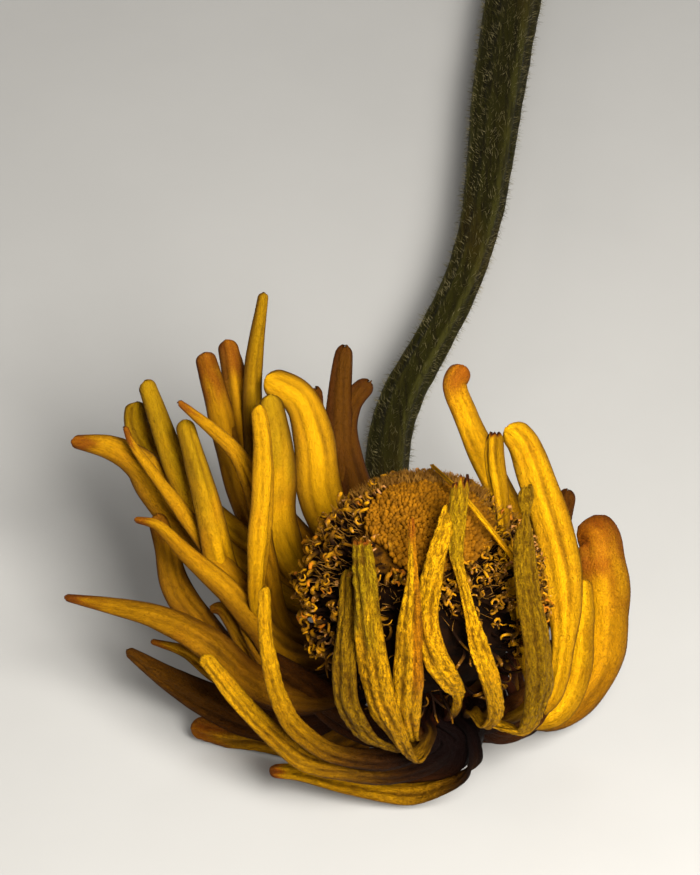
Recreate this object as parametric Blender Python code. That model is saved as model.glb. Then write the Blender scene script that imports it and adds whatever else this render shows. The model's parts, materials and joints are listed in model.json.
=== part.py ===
"""A dried daisy: a large single flower head, dried with its petals rolled and curled, on a long cut stem.

It lies on a table. The head faces up, on its lowest petals, and the stem bends at the neck and runs back
along the table to its cut end. X is to the right, Y goes away from the viewer and Z is up. Lengths are in
metres, except in the sizes and the lists of points below, which are in millimetres. The points are measured
from the point on the table under the middle of the calyx's rim.
"""
import math
import random

import bmesh
import bpy
from mathutils import Matrix, Vector

MM = 0.001

# The place of the head on the table, which puts the middle of the whole flower's box at the origin
HEAD_X = 9.9
HEAD_Y = -59.4

# The head: the rim of the calyx above the table, and how the head leans towards the viewer and to the left
RIM_HEIGHT = 13.0
TABLE_CORNERS = ((-80, -60), (80, -60), (80, 200), (-80, 200))
TABLE_DEPTH = 20.0
LEAN_FORWARD = math.radians(10.0)
LEAN_LEFT = math.radians(6.0)
GAP = 0.3

# The calyx: a cup under the rim, with its bracts in rows
CUP_PROFILE = [(2.1, -7.0), (3.0, -6.2), (4.6, -4.4), (5.5, -2.4), (5.9, -0.4)]
BRACT_ROWS = [(9, -5.6, -2.2, 2.7), (11, -3.8, -0.8, 2.5)]
BRACT_THICKNESS = 0.7
BRACT_SECTION = [(-0.5, -0.5), (0.5, -0.5), (0.35, 0.5), (-0.35, 0.5)]
BRACT_TAPER = 0.65
BRACT_LIFT = 0.1
BRACT_SPREAD = 0.3
CUP_SIDES = 18

# The ring that the petals' roots sit in, on the edge of the cup
RING_INNER = 4.5
RING_OUTER = 6.4
RING_LOW = 0.0
RING_HIGH = 1.3
RING_SIDES = 20

# The petals
PETAL_THICKNESS = 0.8
PETAL_BOW = 0.22
PETAL_OUTLINE = [(-0.5, -0.15), (0.0, 0.5), (0.5, -0.15), (0.4, -0.9), (-0.4, -0.9)]
PETAL_STATIONS = 9
ROOT_WIDTH = 1.1
ROOT_HEIGHT = 0.5
ROOT_RADII = (5.3, 7.2)
TIP_SHARE = 0.55
FRONT_SIDE = Vector((0.0, -0.7, 0.7))
PETAL_CLEARANCE = 0.35
ROOM_LAP = 0.12
ROOM_SIDES = 28

# The dome of opened florets, a ball that sits on the cup, with the mound of unopened florets at its top
BALL_CENTRE = (-2.5, -0.9, 23.3)
BALL_RADIUS = 13.3
BALL_DEPTH = 0.92
CORE_RADIUS = 9.2
CORE_SIDES = 14
CORE_ANGLES = (0.12, 0.6, 1.1, 1.6, 2.1, 2.45)
NECK_HEIGHT = 3.3
FLORET_COUNT = 96
FLORET_ROOT = 7.8
FLORET_REACH = (-1.4, 0.6)
FLORET_SWAY = 0.5
FLORET_HOOK = (1.1, 0.5)
FLORET_WIDTHS = (1.44, 1.52, 1.84, 1.12)
LOWEST_FLORET = math.radians(128.0)
MOUND_ANGLE = math.radians(41.0)
MOUND_EDGE = math.radians(33.0)
MOUND_RADIUS = 12.0
CAP_SIDES = 12
CAP_RISE = 0.6
CAP_SHARES = ((0.1, 0.5, 1.0), (1.0, 0.7, 0.4, 0.1))
MOUND_ROOM = 0.8
BUD_COUNT = 48
BUD_WIDTH = 2.0
BUD_SPREAD = (0.85, 1.1)
BUD_ROOT = 1.2
BUD_RISE = (0.2, 0.7)
BUD_TIP = 0.55
GOLDEN_ANGLE = math.pi * (3.0 - math.sqrt(5.0))
SEED = 7

# The stem, from the neck to the cut end: the points that it passes and its radius at each
STEM_SIDES = 12
STEM_STATIONS = 28
STEM_EASE = 1.7
STEM_RIDGE = 0.16
CUT_SLANT = 0.6
STEM_RADII = [1.95, 1.95, 2.0, 2.1, 2.2, 2.3, 2.3, 2.2, 2.05, 2.0, 2.1, 2.4, 3.0, 3.3, 3.4]
STEM_POINTS = [(0.8, 1.3, 5.8), (0.9, 1.6, 4.8), (0.9, 3.2, 3.2), (0, 7.5, 2.8), (-2.6, 16, 3.2),
               (-5.1, 28, 3.9), (-5.4, 38, 4.4), (-3.7, 46, 4.8), (-0.8, 53, 5.2), (2.3, 61, 5.5),
               (4.5, 69, 5.6), (6, 78, 5.4), (8, 97, 4.6), (10.5, 117, 3.7), (12.5, 131, 3.2)]

# Each petal: where its root is on the rim in degrees (0 right, 90 back, -90 front), its width, how strongly
# its broad side turns to the front past the root, and the points that it passes, from root to tip. A turn
# below 0 shows the outer side of a petal that curls over the head
FRONT_PETALS = [
    (-122, 2.7, -2, [(-3.6, -9.5, 10.5), (-7.4, -12, 14.5), (-9.8, -12.5, 20), (-10.2, -11.5, 24.5),
                     (-9.8, -9, 29), (-9.6, -5.5, 32)]),
    (-108, 3.3, -2, [(-1.5, -9, 12), (-3.5, -11, 11), (-6.4, -12.5, 19.5), (-7.6, -12, 27),
                     (-8.1, -9.5, 32), (-8.6, -5, 35.5)]),
    (-98, 3.0, -2, [(-3.2, -9.5, 12), (-3.9, -12, 17), (-4, -12.8, 22.8), (-3.9, -12.2, 29.2),
                    (-3.6, -9.6, 34.6), (-3.7, -4.4, 37.9)]),
    (-88, 2.5, -2, [(1, -9, 16), (0.9, -11, 20.5), (-0.3, -12.5, 24.5), (-1.5, -12.5, 27.5),
                    (-2.3, -11, 31), (-1.7, -8.7, 35.2), (0.2, -3, 38.5)]),
    (-72, 2.0, -2, [(2.5, -9, 15.5), (3.8, -11, 15.5), (4.7, -12, 18.5), (4.1, -12.5, 23.5),
                    (2.7, -11.5, 28.5), (1.4, -9, 33), (0.6, -6, 36), (1.1, -2, 40.5)]),
    (-58, 3.1, -2, [(3.5, -9, 14.5), (6, -10.5, 14.5), (7.8, -11, 15), (8.8, -11.5, 20), (8.7, -11, 26),
                    (7.8, -9, 31.5), (7.2, -6, 36), (7.3, -3, 41)]),
]
RIGHT_PETALS = [
    (-45, 2.4, 1, [(5.5, -6, 11), (8, -7.5, 15), (7.5, -7, 21.5), (6.5, -5, 27.5), (5.5, -1, 30),
                   (5, 4, 32), (4.5, 8, 33.5), (4.5, 10.5, 34.5)]),
    (-28, 4.4, 1, [(8, -4, 9.5), (10.5, -3.5, 11.5), (11.5, -1.5, 16), (11.5, 1.5, 21), (10.6, 5.5, 25.5),
                   (8.9, 9.5, 29), (7.6, 12, 31.5), (6, 13.5, 32.5)]),
    (22, 2.9, 1, [(10, 5.5, 12), (9, 8.5, 18.5), (5.5, 12, 25), (3.5, 14.5, 28.5), (2, 17, 31),
                  (1, 19, 33), (2, 20.5, 34)]),
    (-5, 5.6, 2, [(8.2, -0.5, 8), (10.5, 0.5, 4.5), (13.5, 1.5, 6.5), (15.5, 3, 11), (16, 4.5, 17),
                  (15.5, 6, 21), (15, 8, 22.5), (13.5, 10, 22)]),
    (-16, 3.2, 2, [(7.5, -2, 7.5), (11, -2, 7.5), (13, 0, 10.5), (13.5, 1.5, 16), (13.5, 3.5, 21)]),
    (-60, 1.7, 0, [(3.2, -6.8, 9), (2.8, -4, 3.5), (3, -0.5, 1.3), (5, 0.2, 0.4), (7.5, 0.5, 0.2),
                   (9.5, 1.4, 0.6), (10.7, 2.4, 1.8)]),
    (38, 3.2, 1, [(7.5, 8, 13), (10.5, 11, 16), (12, 14, 20), (12.5, 15.5, 21.5)]),
    (70, 3.0, 1, [(2, 11, 16), (2.5, 15, 19), (2.5, 17.5, 21)]),
    (-10, 1.2, 1, [(9.5, -2, 14.5), (9.2, -7, 26), (7, -5.5, 31.5), (5.5, -4.5, 33.5), (3, -2.1, 35.6),
                   (1, 0.8, 36.2), (-1.5, 7, 33.5)]),
]
LOW_PETALS = [
    (-66, 3.0, 1, [(3, -6.5, 10.5), (5.5, -6, 11.5), (8, -5, 12.5), (9.5, -3.5, 14.5)]),
    (-95, 3.2, 1, [(1.8, -7.5, 10.5), (1.6, -8, 7), (-0.5, -7.5, 4.2), (-4.5, -7, 3.2), (-9, -6, 3.6),
                   (-13, -5, 4.2)]),
    (-150, 4.4, 1, [(-4.5, -6.5, 11.5), (-6, -6.5, 9), (-10, -5, 9.8), (-14, -3, 12.2), (-18, -1, 14.5)]),
    (-40, 3.4, 1, [(4.5, -6, 10.5), (5.5, -6, 9), (7.5, -5.5, 9), (9.3, -4.5, 10), (10.2, -3.5, 11.5)]),
    (-80, 2.8, -2, [(2.5, -8, 11), (2.5, -9, 7), (-0.5, -8, 3.2), (-4, -7.6, 1.6), (-9.5, -8, 3.4),
                    (-14.5, -8, 5.2), (-17.5, -8, 5.5)]),
    (-116, 2.6, 1, [(0.5, -8, 10), (-1.5, -9, 7.5), (-5.5, -10, 7), (-10, -10.5, 8.4), (-14, -10, 9.3),
                    (-17.5, -8.5, 11.9), (-20.5, -6.5, 14.3), (-24, -4, 18.1)]),
    (-130, 2.1, 1, [(-1, -8, 10.5), (-3, -9, 9.5), (-6.5, -10.3, 9.8), (-11, -10.5, 11),
                    (-14.3, -10, 13.6), (-16, -9.3, 16.5), (-17, -8, 20), (-17.6, -6.3, 24),
                    (-17.7, -4, 28)]),
    (-158, 4.2, 1, [(-5.5, -6, 11.5), (-10.5, -3.5, 4), (-14.5, -2, 0.7), (-18.5, -0.8, 0.9),
                    (-23, -0.2, 1.9), (-25.7, 0.3, 2.4)]),
    (-172, 4.4, 1, [(-8.5, -3, 10.5), (-14.5, -1, 4.5), (-19, 0, 4), (-23, 1, 5), (-27.5, 2, 7.5),
                    (-32, 3, 11)]),
]
LEFT_PETALS = [
    (-166, 4.0, 1, [(-7.5, -4, 13), (-13.5, -4, 11.5), (-19, -3, 13.5), (-23.5, -1, 17), (-28.5, 1.5, 18),
                    (-33.5, 3, 18), (-38, 4, 18)]),
    (-176, 2.4, 1, [(-9.5, -1, 9.5), (-17.5, 0, 8.5), (-22.5, 1, 9.5), (-26, 2, 12), (-29.5, 3, 12.5)]),
    (160, 5.2, 1, [(-7.5, 4, 14), (-16.5, 7, 15.5), (-23, 11, 18), (-28.5, 14, 22.5), (-30.5, 15.5, 25),
                   (-33.5, 16.5, 26.5), (-37.5, 17, 27)]),
    (168, 2.3, 1, [(-9.5, 3, 12.5), (-15.5, 4, 14.5), (-21, 6, 19), (-24.5, 9, 22), (-27.5, 12, 24.5),
                   (-31, 15.5, 27.5), (-32, 16.5, 29.5)]),
    (156, 3.1, 1, [(-8.5, 4, 14), (-15.5, 6, 15.5), (-23, 10, 19), (-25.5, 13, 23), (-27.5, 16, 26.5),
                   (-29, 19, 29.5), (-30, 20.5, 32)]),
    (150, 3.6, 1, [(-7.5, 5, 15), (-16.5, 9, 16.5), (-24.5, 14, 20), (-29, 18, 23), (-31, 20, 26),
                   (-31, 21, 28.5)]),
    (172, 2.7, 1, [(-9.5, 2, 14), (-15.5, 3, 14), (-18, 6.5, 21), (-18.5, 9.5, 25), (-19.5, 12, 27),
                   (-21.5, 14.5, 29), (-26.5, 16, 33.5)]),
    (164, 3.4, 1, [(-8.5, 3, 12.5), (-15.5, 4, 11.5), (-20, 5, 15.5), (-22, 6.5, 19), (-23, 8.5, 23),
                   (-24, 11.5, 25.5), (-26, 16.5, 30.5)]),
    (176, 3.2, 1, [(-9.5, 1, 13.5), (-16, 1.5, 13), (-18.5, 2, 18), (-18.5, 4, 22.5), (-18, 8, 27.5),
                   (-18, 13, 31), (-18.5, 15.5, 33.5)]),
    (180, 2.8, 1, [(-10, 0, 12.5), (-15.5, 0, 13.5), (-18.5, 1, 17), (-21.5, 3, 20), (-25.5, 6, 22),
                   (-28.5, 8.5, 23.5), (-31, 9.5, 23.5)]),
    (184, 3.8, 1, [(-9.5, -1, 12), (-16.5, 0, 7.5), (-21, 2, 10), (-24.5, 4, 14), (-27, 7, 16.5),
                   (-28, 10, 19), (-29, 12, 21.5)]),
    (190, 2.4, 1, [(-9.5, -2, 12), (-14.5, -2, 9), (-17.5, -1, 11), (-20, 1, 14.5), (-22, 3, 17),
                   (-23.5, 4, 16.5)]),
    (187, 2.5, 1, [(-9.5, -1.5, 11.5), (-14.5, -1.5, 10), (-17, -1, 12.5), (-19.5, 1, 16.5),
                   (-20.5, 3, 18.5)]),
]
BACK_PETALS = [
    (140, 3.4, 1, [(-6.5, 7, 14.5), (-14.5, 10, 16), (-19.2, 14, 18.5), (-21.6, 19, 23.5), (-23, 22, 28),
                   (-24.2, 24, 32.5)]),
    (132, 3.5, 1, [(-5.5, 7, 15), (-12.5, 11, 16.5), (-18, 15, 20), (-20, 19.5, 24.5), (-21, 23.5, 28.5),
                   (-22, 26.5, 32)]),
    (146, 2.7, 1, [(-7, 6, 14), (-14, 10, 15.5), (-18, 16, 21), (-19.1, 20, 25.5), (-19.2, 23.5, 30.5),
                   (-18.1, 27, 38)]),
    (138, 3.8, 1, [(-6.5, 6, 14.5), (-13.5, 8, 16), (-16.5, 10.5, 21), (-16.5, 14.5, 27),
                   (-17.5, 19, 31.5)]),
    (124, 4.8, 1, [(-5, 8, 14.5), (-10.5, 11.5, 18.5), (-12.5, 14.5, 22.5), (-13, 17.5, 26.5),
                   (-14.5, 20.5, 29.5), (-18, 22, 31)]),
    (112, 3.4, 1, [(-4.5, 9, 15), (-9.5, 14, 18.5), (-10.5, 19, 23.5), (-10.5, 23, 27), (-10, 27, 30.5)]),
    (106, 3.6, 1, [(-3.5, 10, 15.5), (-8, 15, 20), (-10, 20, 24), (-9.5, 23, 26), (-7.5, 25, 27.5)]),
    (118, 3.0, 1, [(-5, 9, 14.5), (-10, 13, 18), (-12, 17, 23), (-13, 20.5, 25), (-13, 23, 28.5)]),
]

# The petals that the head hides, low behind it: root angle, reach and the height of the tip
HIDDEN_PETALS = [(8, 14.5, 9), (30, 18, 8), (48, 20, 11), (60, 19, 12), (82, 19, 15), (96, 20, 14),
                 (100, 17, 19)]
HIDDEN_WIDTH = 2.4

COLOURS = {
    "stem": (0.13, 0.11, 0.04),
    "calyx": (0.12, 0.09, 0.03),
    "ray_petals": (0.60, 0.36, 0.04),
    "disc_florets": (0.36, 0.20, 0.05),
    "centre_florets": (0.45, 0.28, 0.07),
}


def start_empty():
    """Remove what the file opened with."""
    for obj in list(bpy.data.objects):
        bpy.data.objects.remove(obj, do_unlink=True)


def dry_material(name):
    """A dry, matt plant surface in the piece's own colour."""
    material = bpy.data.materials.new(name)
    material.use_nodes = True
    shader = material.node_tree.nodes["Principled BSDF"]
    shader.inputs["Base Color"].default_value = (*COLOURS[name], 1.0)
    shader.inputs["Roughness"].default_value = 0.65
    shader.inputs["Metallic"].default_value = 0.0
    return material


def head_frame():
    """From the head's own axes, with the rim's middle at the start and its axis along Z, to the table's."""
    lean = Matrix.Rotation(LEAN_FORWARD, 4, "X") @ Matrix.Rotation(-LEAN_LEFT, 4, "Y")
    return Matrix.Translation((0.0, 0.0, RIM_HEIGHT)) @ lean


def step(low, high, value):
    """0 below low, 1 above high, smooth between."""
    share = min(max((value - low) / (high - low), 0.0), 1.0)
    return share * share * (3.0 - 2.0 * share)


def smooth_path(points, count, ease=1.0):
    """Points on a smooth curve through the given ones, closer together at its start for an ease over 1."""
    ends = [points[0] * 2 - points[1]] + points + [points[-1] * 2 - points[-2]]
    dense = []
    for i in range(1, len(ends) - 2):
        before, start, end, after = ends[i - 1:i + 3]
        for j in range(12):
            t = j / 12
            square = 2 * before - 5 * start + 4 * end - after
            cube = 3 * start - before - 3 * end + after
            dense.append(0.5 * (2 * start + (end - before) * t + square * t * t + cube * t ** 3))
    dense.append(points[-1])
    lengths = [0.0]
    for a, b in zip(dense, dense[1:]):
        lengths.append(lengths[-1] + (b - a).length)
    path = []
    k = 0
    for i in range(count):
        target = lengths[-1] * (i / (count - 1)) ** ease
        while k < len(dense) - 2 and lengths[k + 1] < target:
            k += 1
        share = (target - lengths[k]) / max(lengths[k + 1] - lengths[k], 1e-9)
        path.append(dense[k].lerp(dense[k + 1], min(share, 1.0)))
    return path


def carried_frames(path, outside):
    """A side and an outward normal at each point of a path, carried along it without turning about it."""
    frames = []
    normal = outside.copy()
    for i in range(len(path)):
        tangent = (path[min(i + 1, len(path) - 1)] - path[max(i - 1, 0)]).normalized()
        normal = (normal - tangent * normal.dot(tangent)).normalized()
        frames.append((tangent.cross(normal), normal))
    return frames


def loft(name, rings):
    """A closed body through rings of points in millimetres, split into triangles alike all the way round."""
    mesh = bpy.data.meshes.new(name)
    bm = bmesh.new()
    loops = [[bm.verts.new((p + Vector((HEAD_X, HEAD_Y, 0.0))) * MM) for p in ring] for ring in rings]
    size = len(loops[0])
    for lower, upper in zip(loops, loops[1:]):
        for i in range(size):
            j = (i + 1) % size
            bm.faces.new((lower[i], lower[j], upper[j]))
            bm.faces.new((lower[i], upper[j], upper[i]))
    for i in range(1, size - 1):
        bm.faces.new((loops[0][0], loops[0][i + 1], loops[0][i]))
        bm.faces.new((loops[-1][0], loops[-1][i], loops[-1][i + 1]))
    if bm.calc_volume(signed=True) < 0:
        bmesh.ops.reverse_faces(bm, faces=bm.faces)
    bm.to_mesh(mesh)
    bm.free()
    obj = bpy.data.objects.new(name, mesh)
    bpy.context.scene.collection.objects.link(obj)
    return obj


def turned(name, profile, sides, frame):
    """A body turned round the head's axis from a closed profile of radii and heights."""
    rings = []
    for i in range(sides):
        angle = 2 * math.pi * i / sides
        rings.append([frame @ Vector((r * math.cos(angle), r * math.sin(angle), z)) for r, z in profile])
    mesh = bpy.data.meshes.new(name)
    bm = bmesh.new()
    loops = [[bm.verts.new((p + Vector((HEAD_X, HEAD_Y, 0.0))) * MM) for p in ring] for ring in rings]
    for i, ring in enumerate(loops):
        after = loops[(i + 1) % sides]
        for j in range(len(profile)):
            k = (j + 1) % len(profile)
            bm.faces.new((ring[j], after[j], after[k], ring[k]))
    bmesh.ops.remove_doubles(bm, verts=bm.verts, dist=0.01 * MM)
    bmesh.ops.dissolve_degenerate(bm, edges=bm.edges, dist=0.001 * MM)
    bmesh.ops.triangulate(bm, faces=bm.faces)
    bmesh.ops.recalc_face_normals(bm, faces=bm.faces)
    bm.to_mesh(mesh)
    bm.free()
    obj = bpy.data.objects.new(name, mesh)
    bpy.context.scene.collection.objects.link(obj)
    return obj


def turned_frames(path, turn, up):
    """A side and a normal along a petal as its broad side turns to the front, the outer side below 0."""
    frames = []
    for i, (side, normal) in enumerate(carried_frames(path, up * math.copysign(1.0, turn))):
        tangent = normal.cross(side)
        normal = normal + FRONT_SIDE * (abs(turn) * step(0.12, 0.45, i / (len(path) - 1)))
        normal = (normal - tangent * normal.dot(tangent)).normalized()
        frames.append((tangent.cross(normal), normal))
    return frames


def petal_width(width, along):
    """The width of a petal at a place along it: a narrow root, its full width halfway and a narrower tip."""
    body = 1.0 - (1.0 - TIP_SHARE) * (max(along - 0.5, 0.0) / 0.5) ** 2
    return ROOT_WIDTH + (width * body - ROOT_WIDTH) * step(0.06, 0.52, along)


def petal_rings(angle, width, turn, points, extra=0.0):
    """The sections of one rolled petal, a gutter-shaped blade along its points. extra makes it fatter."""
    frame = head_frame()
    around = math.radians(angle)
    roots = [frame @ Vector((r * math.cos(around), r * math.sin(around), ROOT_HEIGHT)) for r in ROOT_RADII]
    path = smooth_path(roots + [Vector(p) for p in points], PETAL_STATIONS)
    if extra:
        path[0] += (path[0] - path[1]).normalized() * extra
        path[-1] += (path[-1] - path[-2]).normalized() * extra
    thick = PETAL_THICKNESS + 2 * extra
    up = frame.to_3x3() @ Vector((0.0, 0.0, 1.0))
    rings = []
    for i, (point, (side, normal)) in enumerate(zip(path, turned_frames(path, turn, up))):
        wide = petal_width(width, i / (PETAL_STATIONS - 1))
        ring = []
        for across, out in PETAL_OUTLINE:
            lift = 0.0 if across else PETAL_BOW * wide
            ring.append(point + side * (across * (wide + 2 * extra)) + normal * (out * thick + lift))
        rings.append(ring)
    return rings


def hidden_petal(angle, reach, height):
    """The points of a petal behind the head, which goes out from the rim and then turns up at its tip."""
    around = math.radians(angle)
    out = Vector((math.cos(around), math.sin(around), 0.0))
    middle = (0.65 * reach, 0.5 * (height + 8.0))
    steps = [(9.5, 11.5), middle, (0.88 * reach, height - 1.0), (reach, height + 2.0)]
    return [tuple(out * r + Vector((0.0, 0.0, z))) for r, z in steps]


def all_petals(extra=0.0):
    """The sections of every petal."""
    petals = []
    for group in (FRONT_PETALS, RIGHT_PETALS, LOW_PETALS, LEFT_PETALS, BACK_PETALS):
        for angle, width, turn, points in group:
            petals.append(petal_rings(angle, width, turn, points, extra))
    for angle, reach, height in HIDDEN_PETALS:
        petals.append(petal_rings(angle, HIDDEN_WIDTH, 1, hidden_petal(angle, reach, height), extra))
    return petals


def petal_bodies():
    """Every petal as a body of its own."""
    return [loft("petal", rings) for rings in all_petals()]


def petal_room():
    """The room round the petals and their root ring that the neighbours keep out of, as convex lengths."""
    bodies = []
    for rings in all_petals(PETAL_CLEARANCE):
        for lower, upper in zip(rings, rings[1:]):
            mesh = bpy.data.meshes.new("room")
            bm = bmesh.new()
            reach = (upper[0] - lower[0]).normalized() * ROOM_LAP
            for point in [p - reach for p in lower] + [p + reach for p in upper]:
                bm.verts.new((point + Vector((HEAD_X, HEAD_Y, 0.0))) * MM)
            hull = bmesh.ops.convex_hull(bm, input=bm.verts)
            inside = [v for v in hull["geom_interior"] if isinstance(v, bmesh.types.BMVert)]
            bmesh.ops.delete(bm, geom=inside, context="VERTS")
            bmesh.ops.recalc_face_normals(bm, faces=bm.faces)
            bm.to_mesh(mesh)
            bm.free()
            obj = bpy.data.objects.new("room", mesh)
            bpy.context.scene.collection.objects.link(obj)
            bodies.append(obj)
    low = RING_LOW - PETAL_CLEARANCE
    high = RING_HIGH + PETAL_CLEARANCE
    inner = RING_INNER - GAP
    outer = RING_OUTER + GAP
    profile = [(inner, low), (outer, low), (outer, high), (inner, high)]
    bodies.append(turned("room", profile, ROOM_SIDES, head_frame()))
    return bodies


def combine(base, others, operation):
    """Fuse the other bodies into the base, or cut them out of it, and remove them."""
    group = bpy.data.collections.new("group")
    bpy.context.scene.collection.children.link(group)
    for obj in others:
        group.objects.link(obj)
    boolean = base.modifiers.new("combine", "BOOLEAN")
    boolean.operation = operation
    boolean.operand_type = "COLLECTION"
    boolean.collection = group
    boolean.solver = "MANIFOLD"
    bpy.context.view_layer.update()
    evaluated = base.evaluated_get(bpy.context.evaluated_depsgraph_get())
    mesh = bpy.data.meshes.new_from_object(evaluated)
    base.modifiers.remove(boolean)
    base.data = mesh
    for obj in others:
        bpy.data.objects.remove(obj, do_unlink=True)
    bpy.data.collections.remove(group)


def keep_largest(obj):
    """Weld the mesh and drop the loose scraps that a cut leaves and the hollows that fusing seals."""
    bm = bmesh.new()
    bm.from_mesh(obj.data)
    left = set(bm.verts)
    islands = []
    while left:
        seed = left.pop()
        island = {seed}
        queue = [seed]
        while queue:
            for edge in queue.pop().link_edges:
                for vert in edge.verts:
                    if vert in left:
                        left.discard(vert)
                        island.add(vert)
                        queue.append(vert)
        islands.append(island)
    islands.sort(key=len, reverse=True)
    for island in islands[1:]:
        bmesh.ops.delete(bm, geom=list(island), context="VERTS")
    bmesh.ops.triangulate(bm, faces=bm.faces)
    bm.to_mesh(obj.data)
    bm.free()


def table_block():
    """What lies below the table's surface, to give the lowest petals and the stem's end small flat spots."""
    low = [Vector((x, y, -TABLE_DEPTH)) for x, y in TABLE_CORNERS]
    return loft("table_block", [low, [Vector((p.x, p.y, 0.0)) for p in low]])


def finish(obj, name):
    """Name the piece and give it its material."""
    obj.name = name
    obj.data.name = name
    obj.data.materials.clear()
    obj.data.materials.append(dry_material(name))
    for polygon in obj.data.polygons:
        polygon.material_index = 0


def make_petals():
    """The ray petals and their root ring."""
    outside = [(RING_OUTER, RING_LOW), (RING_OUTER, RING_HIGH)]
    profile = [(RING_INNER, RING_LOW)] + outside + [(RING_INNER, RING_HIGH)]
    ring = turned("ring", profile, RING_SIDES, head_frame())
    combine(ring, petal_bodies(), "UNION")
    combine(ring, [table_block()], "DIFFERENCE")
    keep_largest(ring)
    finish(ring, "ray_petals")


def bract(around, low, high, width):
    """One bract: a narrow pointed scale that hugs the cup and ends just below the rim."""
    frame = head_frame()
    out = Vector((math.cos(around), math.sin(around), 0.0))
    side = Vector((-math.sin(around), math.cos(around), 0.0))
    rings = []
    for along in (0.0, 1.0):
        height = low + (high - low) * along
        radius = cup_radius(height) + BRACT_LIFT + BRACT_SPREAD * along
        wide = width * (1.0 - BRACT_TAPER * along ** 2)
        centre = out * radius + Vector((0.0, 0.0, height))
        rings.append([frame @ (centre + side * (a * wide) + out * (b * BRACT_THICKNESS))
                      for a, b in BRACT_SECTION])
    return loft("bract", rings)


def cup_radius(height):
    """The cup's radius at a height from the rim."""
    for (r0, z0), (r1, z1) in zip(CUP_PROFILE, CUP_PROFILE[1:]):
        if height <= z1:
            return r0 + (r1 - r0) * max(height - z0, 0.0) / (z1 - z0)
    return CUP_PROFILE[-1][0]


def make_calyx():
    """The cup under the rim, with its bracts fused to it, cut clear of the petals."""
    profile = [(0.0, CUP_PROFILE[0][1])] + CUP_PROFILE + [(0.0, CUP_PROFILE[-1][1])]
    cup = turned("cup", profile, CUP_SIDES, head_frame())
    bracts = []
    for row, (count, low, high, width) in enumerate(BRACT_ROWS):
        for i in range(count):
            bracts.append(bract(2 * math.pi * (i + 0.5 * row) / count, low, high, width))
    combine(cup, bracts, "UNION")
    combine(cup, petal_room(), "DIFFERENCE")
    keep_largest(cup)
    finish(cup, "calyx")


def ball_direction(polar, around):
    """A step from the ball's middle to its surface, at radius 1, from the angle off its top and round it."""
    deep = BALL_DEPTH * math.sin(polar) * math.sin(around)
    return Vector((math.sin(polar) * math.cos(around), deep, math.cos(polar)))


def floret(direction, draw):
    """One opened floret: a slim tube out of the core, with its mouth hooked over to one side."""
    centre = Vector(BALL_CENTRE)
    tip = centre + direction * (BALL_RADIUS + draw.uniform(*FLORET_REACH))
    start = centre + direction * FLORET_ROOT
    aim = (tip - start).normalized()
    side = aim.orthogonal().normalized()
    side.rotate(Matrix.Rotation(draw.uniform(0.0, 2 * math.pi), 3, aim))
    middle = start.lerp(tip, 0.6) + side * draw.uniform(-FLORET_SWAY, FLORET_SWAY)
    across, down = FLORET_HOOK
    path = [start, middle, tip, tip + side * across - aim * down]
    rings = []
    for point, wide, (side, normal) in zip(path, FLORET_WIDTHS, carried_frames(path, side)):
        rings.append([point + 0.5 * wide * (side * math.cos(a) + normal * math.sin(a))
                      for a in (0.0, 2.0 * math.pi / 3.0, 4.0 * math.pi / 3.0)])
    return loft("floret", rings)


def core_ring(frame, radius, height):
    """A ring round the axis of a frame."""
    steps = [2 * math.pi * i / CORE_SIDES for i in range(CORE_SIDES)]
    return [frame @ Vector((radius * math.cos(a), radius * math.sin(a), height)) for a in steps]


def make_florets():
    """The core of the dome and its opened florets, cut clear of the petals, the calyx and the mound."""
    draw = random.Random(SEED)
    centre = Vector(BALL_CENTRE)
    rings = []
    for polar in CORE_ANGLES:
        rings.append([centre + CORE_RADIUS * ball_direction(polar, 2 * math.pi * i / CORE_SIDES)
                      for i in range(CORE_SIDES)])
    for height in (NECK_HEIGHT, RING_LOW):
        rings.append(core_ring(head_frame(), RING_INNER - GAP, height))
    core = loft("core", rings)
    florets = []
    top = math.cos(MOUND_ANGLE)
    for i in range(FLORET_COUNT):
        rise = top - (i + 0.5) / FLORET_COUNT * (top - math.cos(LOWEST_FLORET))
        florets.append(floret(ball_direction(math.acos(rise), i * GOLDEN_ANGLE), draw))
    combine(core, florets, "UNION")
    mound_room = cap(CORE_RADIUS + 0.5 * GAP, MOUND_RADIUS + MOUND_ROOM, MOUND_ANGLE)
    combine(core, petal_room() + [mound_room], "DIFFERENCE")
    keep_largest(core)
    finish(core, "disc_florets")


def bud(direction, draw):
    """One unopened floret: a short blunt peg that stands out of the mound."""
    centre = Vector(BALL_CENTRE)
    wide = 0.5 * BUD_WIDTH * draw.uniform(*BUD_SPREAD)
    side = direction.orthogonal().normalized()
    side.rotate(Matrix.Rotation(draw.uniform(0.0, 2 * math.pi), 3, direction))
    across = direction.cross(side)
    rings = []
    for reach, share in ((-BUD_ROOT, 1.0), (draw.uniform(*BUD_RISE), BUD_TIP)):
        middle = centre + direction * (MOUND_RADIUS + reach)
        rings.append([middle + (side * math.cos(a) + across * math.sin(a)) * wide * share
                      for a in (0.0, 0.5 * math.pi, math.pi, 1.5 * math.pi)])
    return loft("bud", rings)


def cap(low, high, edge):
    """A cap of the ball between two radii, as far down as the edge's angle."""
    centre = Vector(BALL_CENTRE)
    rings = []
    for reach, shares in zip((low, high), CAP_SHARES):
        for share in shares:
            rings.append([centre + reach * ball_direction(edge * share, 2 * math.pi * i / CAP_SIDES)
                          for i in range(CAP_SIDES)])
    return loft("cap", rings)


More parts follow.
